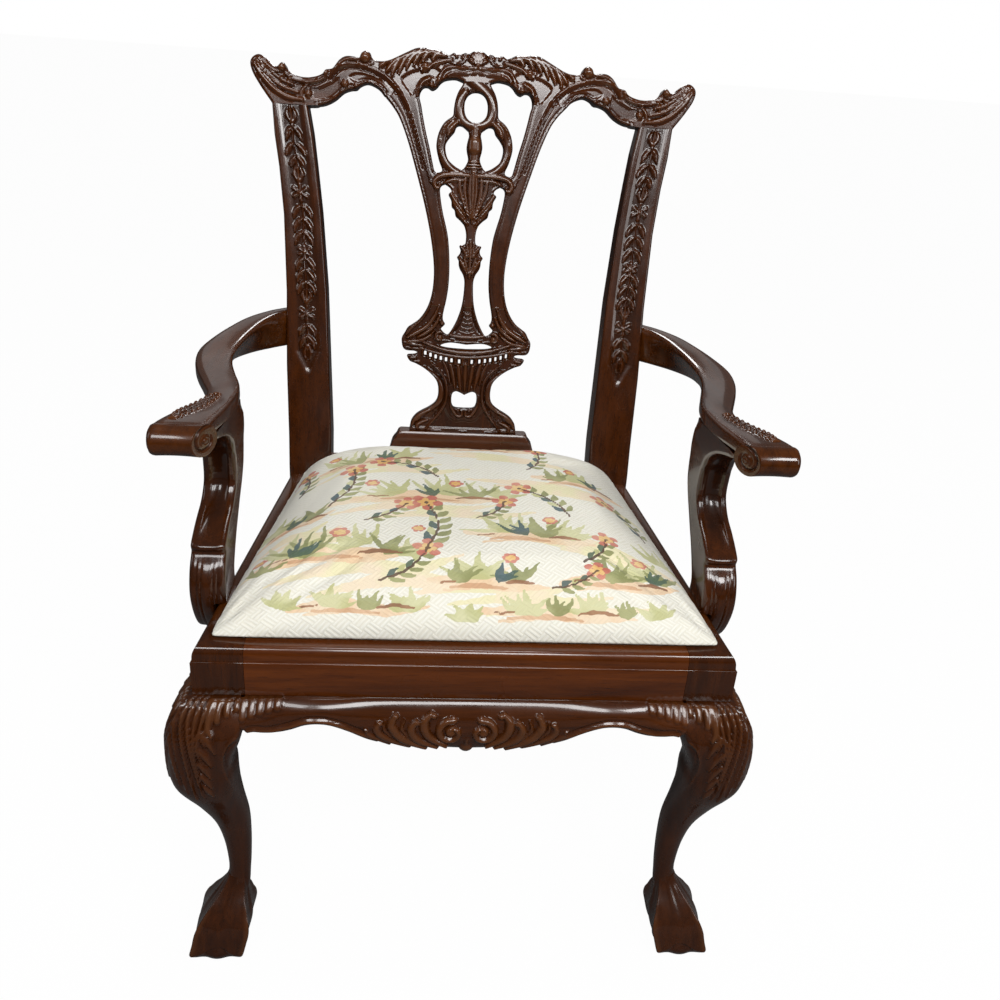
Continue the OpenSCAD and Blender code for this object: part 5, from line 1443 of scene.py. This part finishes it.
def blossom(x, y, r, petals=5, turn=0):
    """A flower of short petals."""
    out = []
    for k in range(petals):
        a = math.radians(turn + 360 * k / petals)
        c, s = math.cos(a), math.sin(a)
        out.append(([(x + 0.35 * r * c, y + 0.35 * r * s), (x + 0.8 * r * c, y + 0.8 * r * s)],
                    [0.28 * r, 0.42 * r], 1.0))
    return out


def sprig(x, y, length, turn, pairs, leaf):
    """A stem with leaves in pairs; gives the stem, the leaves and the tip."""
    a = math.radians(turn)
    stem = [(x + length * t * math.cos(a + 0.5 * t), y + length * t * math.sin(a + 0.5 * t))
            for t in (0, 0.33, 0.66, 1.0)]
    leaves = []
    for k in range(pairs):
        t = (k + 0.8) / pairs
        px, py = (x + length * t * math.cos(a + 0.5 * t), y + length * t * math.sin(a + 0.5 * t))
        for hand in (-1, 1):
            b = a + 0.5 * t + hand * 0.85
            reach = leaf * (1.1 - 0.4 * t)
            leaves.append(([(px, py), (px + 0.5 * reach * math.cos(b), py + 0.5 * reach * math.sin(b)),
                            (px + reach * math.cos(b - 0.2 * hand), py + reach * math.sin(b - 0.2 * hand))],
                           [0.8, 0.26 * leaf, 0.5], 1.0))
    return [(stem, [1.1, 0.9, 0.7], 1.0)], leaves, stem[-1]


inks = {name: [] for name in ("wash", "peach", "tan", "pale_leaf", "olive", "deep_leaf", "brown",
                              "coral", "gold", "line")}
# Broad washes of sunlit ground, then strips of bare earth with tufts growing on them
for x, y, long, high, slope in ((-112, 66, 230, 30, .22), (150, 112, 170, 22, -.16),
                                 (-60, 200, 210, 24, .12), (120, 262, 170, 20, -.1),
                                 (-110, 318, 170, 17, .12), (70, 20, 190, 20, .08),
                                 (60, 352, 150, 13, -.08), (-190, 140, 90, 20, .3)):
    for part, shift in ((0.0, 0), (0.22, -0.7 * high), (-0.2, 0.75 * high)):
        inks["wash"].append(([(x + (part - 0.5) * long, y + shift - 0.5 * slope * long),
                              (x + (part - 0.1) * long, y + shift + 4),
                              (x + (part + 0.2) * long, y + shift - 2),
                              (x + (part + 0.45) * long, y + shift + 0.5 * slope * long)],
                             [1.5, 0.5 * high, 0.42 * high, 1.5], 1.0))
for x, y, long, high, slope in ((-150, 92, 190, 19, .12), (72, 132, 150, 14, -.1),
                                 (-40, 228, 200, 15, .08), (150, 292, 120, 12, -.14),
                                 (-118, 345, 150, 11, .06), (172, 52, 140, 15, .08),
                                 (20, 44, 130, 12, -.06), (40, 385, 150, 8, 0.02),
                                 (-205, 190, 90, 11, .2), (-120, 4, 150, 11, .05),
                                 (96, 0, 170, 11, -.04)):
    inks["peach"].append(([(x - long / 2, y - slope * long / 2), (x - long / 6, y + 5),
                           (x + long / 5, y - 3), (x + long / 2, y + slope * long / 2)],
                          [0.4 * high, high, 0.8 * high, 1.2], 1.0))
    inks["peach"].append(([(x - long / 2.6, y - 0.9 * high), (x - long / 12, y - 0.5 * high)],
                          [1.5, 0.5 * high, 1.0], 1.0))
    inks["tan"].append(([(x - long / 3, y - 6), (x - long / 9, y - 3), (x + long / 7, y - 7)],
                        [1.2, 0.36 * high, 1.0], 1.0))
    inks["brown"].append(([(x + long / 8, y + 1), (x + long / 4, y + 5), (x + long / 2.6, y + 1)],
                          [1.0, 0.26 * high, 0.9], 1.0))
    inks["brown"].append(([(x - long / 2.4, y + 1), (x - long / 3.4, y + 3)], [1.0, 2.6, 0.9], 1.0))
for x, y, size, turn in ((-214, 100, 60, 66), (-128, 106, 50, 112), (-30, 238, 52, 78),
                         (46, 142, 50, 104), (110, 138, 40, 58), (190, 62, 54, 96),
                         (144, 298, 42, 85), (-90, 234, 44, 122), (-166, 352, 42, 75),
                         (-84, 350, 36, 100), (8, 52, 42, 95), (62, 390, 30, 90),
                         (232, 128, 46, 108), (-232, 196, 40, 84), (-70, 88, 34, 84),
                         (40, 234, 36, 64), (-20, 392, 26, 100), (-152, 6, 30, 78),
                         (-66, 2, 30, 100), (58, 0, 32, 84), (134, 4, 30, 102),
                         (-206, 4, 26, 70), (208, 0, 26, 106), (-4, -10, 24, 92)):
    inks["pale_leaf"] += spray(x, y, 1.15 * size, turn, 11, 74, 4.4)
for x, y, size, turn in ((-184, 94, 62, 98), (-96, 92, 44, 60), (12, 230, 44, 102),
                         (84, 134, 50, 80), (158, 54, 46, 68), (-142, 346, 42, 106),
                         (122, 292, 38, 100), (-238, 66, 40, 80), (-16, 46, 36, 72),
                         (226, 60, 40, 110), (-190, 192, 38, 96), (56, 48, 34, 110),
                         (-112, 2, 26, 88), (92, 0, 26, 70), (172, -2, 24, 96)):
    inks["olive"] += spray(x, y, 1.15 * size, turn, 7, 52, 3.6)
for x, y, size, turn in ((-202, 96, 50, 62), (66, 136, 42, 120), (-42, 232, 38, 110),
                         (208, 58, 40, 72), (170, 292, 30, 112), (-108, 346, 32, 80),
                         (30, 48, 32, 62), (-214, 190, 28, 70)):
    inks["deep_leaf"] += spray(x, y, size, turn, 5, 36, 3.4)
for x, y, long, turn, pairs, leaf in ((-50, 104, 110, 62, 7, 22), (124, 192, 92, 100, 6, 19),
                                      (-170, 214, 104, 48, 7, 20), (-36, 290, 88, 118, 6, 18),
                                      (222, 190, 80, 96, 5, 18), (84, 322, 74, 48, 6, 16),
                                      (-216, 290, 70, 60, 5, 16), (10, 176, 60, 24, 5, 16),
                                      (128, 88, 64, 30, 5, 17), (-124, 168, 64, 12, 5, 16),
                                      (-100, 46, 78, 20, 6, 18), (90, 40, 62, 4, 5, 15)):
    stem, leaves, tip = sprig(x, y, long, turn, pairs, leaf)
    inks["line"] += stem
    inks["olive"] += leaves[::2]
    inks["deep_leaf"] += leaves[1::4]
    inks["pale_leaf"] += leaves[3::4]
    r = 6 + 0.5 * leaf
    inks["coral"] += blossom(*tip, r, 5, turn)
    inks["gold"] += blossom(*tip, 0.55 * r, 5, turn + 36)
    inks["line"].append(boss(*tip, 0.16 * r, 1.0))
for x, y, r in ((-150, 140, 10), (98, 176, 8), (-14, 272, 8), (196, 100, 9), (142, 330, 7),
                (-178, 384, 7), (-240, 112, 8), (44, 88, 8), (-60, 146, 7), (-120, 268, 8)):
    inks["coral"] += blossom(x, y, r, 6)
    inks["gold"] += blossom(x, y, 0.6 * r, 6, 30)
    inks["brown"].append(boss(x, y, 0.25 * r, 1.0))

spots = places_of(cushion.data) * 1000
spots[:, 1] -= front_face
# The cloth is cut flat, so its pattern is measured down over the seat's front swell
down = 0.8 * np.clip(515 - spots[:, 2], 0, 70) * np.clip((150 - spots[:, 1]) / 60, 0, 1)
spots[:, 1] -= down


def lay_out(piece, x, y):
    """Note where each place of the made-up cloth lay in the flat piece, in mm."""
    places = np.column_stack([x, y, 0 * x]) / 1000
    lay = piece.data.attributes.new("lay", "FLOAT_VECTOR", "POINT")
    lay.data.foreach_set("vector", places.astype(np.float32).ravel())


lay_out(cushion, spots[:, 0], spots[:, 1])
shake = 0.9 * np.sin(spots[:, 0] / 3.1) * np.cos(spots[:, 1] / 2.7)
for ink, strokes in inks.items():
    wider = [(line, [w * 1.12 + 0.6 for w in widths], rise) for line, widths, rise in strokes]
    amount = carve(spots[:, 0] + shake, spots[:, 1] - shake, wider, 1.0)
    amount[spots[:, 2] < 443.9] = 0
    field = cushion.data.attributes.new("ink_" + ink, "FLOAT", "POINT")
    field.data.foreach_set("value", amount.astype(np.float32))


def figured(name):
    """Cream cotton with a fret raised in its weave, printed in the inks."""
    finish, tree, shader, place = new_finish(name)
    flat = put(tree, "Attribute", {}, attribute_name="lay").outputs["Vector"]
    turned = put(tree, "Mapping", {"Vector": flat, "Rotation": (0, 0, math.radians(38))}).outputs[0]

    def wave(way, per_metre):
        return put(tree, "TexWave", {"Vector": turned, "Scale": per_metre * math.pi / 10,
                                     "Distortion": 0.4}, bands_direction=way).outputs["Fac"]

    chess = put(tree, "TexChecker", {"Vector": turned, "Scale": 66}).outputs["Fac"]
    bars = mix(tree, chess, wave("X", 198), wave("Y", 198))
    fret = spread(tree, bars, 0.3, 0.65, 0.0, 1.0)
    threads = wave("DIAGONAL", 1100)
    patchy = noise(tree, place, 24, 4)
    ragged = noise(tree, place, 420, 3)
    cream = mix(tree, fret, (0.80, 0.775, 0.675), (0.87, 0.855, 0.775))
    cream = mix(tree, spread(tree, threads, 0.2, 0.8, 0.0, 0.16), cream, (0.68, 0.64, 0.52))
    colour = mix(tree, spread(tree, patchy, 0.4, 0.75, 0, 0.22), cream, (0.80, 0.74, 0.58))
    for ink, tone, second in (
            ("wash", (0.80, 0.74, 0.46), (0.86, 0.72, 0.53)),
            ("peach", (0.80, 0.57, 0.36), (0.84, 0.68, 0.49)),
            ("tan", (0.60, 0.34, 0.19), (0.70, 0.45, 0.28)),
            ("pale_leaf", (0.50, 0.50, 0.22), (0.64, 0.63, 0.36)),
            ("olive", (0.235, 0.25, 0.085), (0.36, 0.37, 0.16)),
            ("deep_leaf", (0.055, 0.105, 0.062), (0.045, 0.10, 0.125)),
            ("brown", (0.24, 0.10, 0.045), (0.36, 0.17, 0.085)),
            ("coral", (0.52, 0.12, 0.085), (0.66, 0.26, 0.19)),
            ("gold", (0.74, 0.44, 0.13), (0.82, 0.60, 0.28)),
            ("line", (0.075, 0.035, 0.022), (0.12, 0.06, 0.035))):
        mark = put(tree, "Attribute", {}, attribute_name="ink_" + ink).outputs["Fac"]
        edge = reckon(tree, "MULTIPLY_ADD", ragged, 0.34, mark)
        inked = mix(tree, spread(tree, patchy, 0.42, 0.58, 0, 1), tone, second)
        inked = mix(tree, spread(tree, threads, 0.3, 0.9, 0.0, 0.10), inked, (0.80, 0.76, 0.64))
        colour = mix(tree, spread(tree, edge, 0.50, 0.56, 0, 0.93), colour, inked)
    fill(tree, shader, {"Base Color": colour, "Specular IOR Level": 0.25, "Sheen Weight": 0.12,
                        "Sheen Roughness": 0.4,
                        "Roughness": spread(tree, patchy, 0.3, 0.7, 0.62, 0.8),
                        "Normal": bumps(tree, threads, 0.35, 0.0004,
                                        bumps(tree, fret, 0.5, 0.0011))})
    return finish


cover_cloth = figured("figured_cloth")
cushion.data.materials.clear()
cushion.data.materials.append(cover_cloth)
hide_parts("seat_pad", "seat_cover")

# The cover's edge, its raw side turned in double, is drawn down the sides of the loose frame
wall = []
for d, z in ((1.05, 424.6), (0.3, 424.6), (0.3, 430), (0.3, 437), (0.3, 443.6), (1.05, 443.6),
             (1.05, 437), (1.05, 430)):
    corners = seat_corners(inset, seat_back, d, d)
    wall.append([(x, y, z) for x, y in along_line(corners, count=30)])
wall.append(wall[0])
points, faces = skin(wall, ends=False)
turned_down = new_piece("cover_edge", points, faces, body="drop_in_seat")
turned_down.data.materials.append(cover_cloth)
hem = np.array(points)
lay_out(turned_down, hem[:, 0] + hem[:, 1], hem[:, 2] - rail_top)
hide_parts("seat_cover")

# ---- Dust cover -------------------------------------------------------------------------------
# A sheet of black cambric tacked up under the loose seat's own rails hides its workings, and
# lifts out with it.

cambric = woven("black_cambric", (0.028, 0.027, 0.027), (0.008, 0.008, 0.009), 900, fuzz=0.15)
corners = [(238, 39), (238, 56), (side_x(56, 39), 56), (side_x(425, 39), 425)]
corners = corners + [(-x, y) for x, y in corners[::-1]]
dust, flat, area = flat_cloth("dust_cover_sheet", along_line(corners), 423.6, 0.6, cambric,
                              0.0)
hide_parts("dust_cover")

# ---- Studio ----------------------------------------------------------------------------------
# The chair stands on a pale floor under soft lamps: three high up in front of it, one above it,
# two behind it and one at each side.

eye = Vector((-0.0600, -1.1050, 1.0329))
yaw, pitch, roll = (math.radians(v) for v in (5.45, 25.99, 4.21))
ahead = Vector((math.sin(yaw) * math.cos(pitch), math.cos(yaw) * math.cos(pitch), -math.sin(pitch)))
across_view = Vector((math.cos(yaw), -math.sin(yaw), 0))
above = across_view.cross(ahead)
right = math.cos(roll) * across_view + math.sin(roll) * above
above = -math.sin(roll) * across_view + math.cos(roll) * above
lens = bpy.data.cameras.new("front_view")
lens.sensor_width = 36
lens.lens = 33.887
lens.clip_start = 0.05
camera = bpy.data.objects.new("front_view", lens)
camera.matrix_world = Matrix(((right.x, above.x, -ahead.x, eye.x),
                              (right.y, above.y, -ahead.y, eye.y),
                              (right.z, above.z, -ahead.z, eye.z), (0, 0, 0, 1)))
bpy.context.scene.collection.objects.link(camera)
bpy.context.scene.camera = camera


def lamp(name, place, aim, width, height, watts):
    """A soft rectangular lamp turned to a point."""
    light = bpy.data.lights.new(name, "AREA")
    light.shape = "RECTANGLE"
    light.size = width
    light.size_y = height
    light.energy = watts
    holder = bpy.data.objects.new(name, light)
    holder.location = place
    holder.rotation_euler = (Vector(aim) - Vector(place)).to_track_quat("-Z", "Y").to_euler()
    bpy.context.scene.collection.objects.link(holder)


lamp("softbox", (0.1, -2.05, 2.3), (0, 0, 0.5), 0.95, 0.8, 34)
lamp("softbox_left", (-0.85, -2.0, 2.25), (0, 0, 0.5), 0.5, 0.7, 13)
lamp("softbox_right", (1.1, -2.0, 2.25), (0, 0, 0.5), 0.5, 0.7, 20)
lamp("back_fill", (0.2, 2.4, 2.3), (0, 0, 0.6), 0.6, 0.6, 12)
lamp("top_light", (0, 0.05, 2.7), (0, 0.05, 0.5), 0.8, 0.6, 13)
lamp("back_light", (0, 2.7, 1.46), (0, 0, 0.7), 2.6, 0.5, 1.4)
lamp("left_fill", (-2.4, -0.6, 1.7), (0, 0, 0.6), 0.5, 1.3, 4.5)
lamp("right_fill", (1.9, -1.4, 1.3), (0, 0, 0.6), 0.6, 1.0, 8)

world = bpy.data.worlds.new("studio")
bpy.context.scene.world = world
world.use_nodes = True
tree = world.node_tree
ray = put(tree, "LightPath", {}).outputs
seen = reckon(tree, "MAXIMUM", ray["Is Camera Ray"], ray["Is Transmission Ray"])
seen = reckon(tree, "MAXIMUM", seen, reckon(tree, "MULTIPLY", ray["Is Glossy Ray"], 0.05))
fill(tree, tree.nodes["Background"], {"Color": (1, 1, 1),
                                      "Strength": spread(tree, seen, 0, 1, 0.045, 1.0)})

floor_mesh = bpy.data.meshes.new("floor")
floor_mesh.from_pydata([(-40, -40, 0), (40, -40, 0), (40, 40, 0), (-40, 40, 0)], [], [(0, 1, 2, 3)])
floor = bpy.data.objects.new("floor", floor_mesh)
bpy.context.scene.collection.objects.link(floor)
white, tree, paint = new_finish("pale_floor")[:3]
camera_ray = put(tree, "LightPath", {}).outputs["Is Camera Ray"]
fill(tree, paint, {"Roughness": 0.9,
                   "Base Color": mix(tree, camera_ray, (0.12, 0.12, 0.12), (0.92, 0.92, 0.92))})
glow = put(tree, "Emission", {"Color": (1, 1, 1)})
blend = put(tree, "MixShader", {0: reckon(tree, "MULTIPLY", camera_ray, 0.978),
                                1: paint.outputs[0], 2: glow.outputs[0]})
fill(tree, tree.nodes["Material Output"], {"Surface": blend.outputs[0]})
floor.data.materials.append(white)

bpy.context.scene.view_settings.view_transform = "Standard"
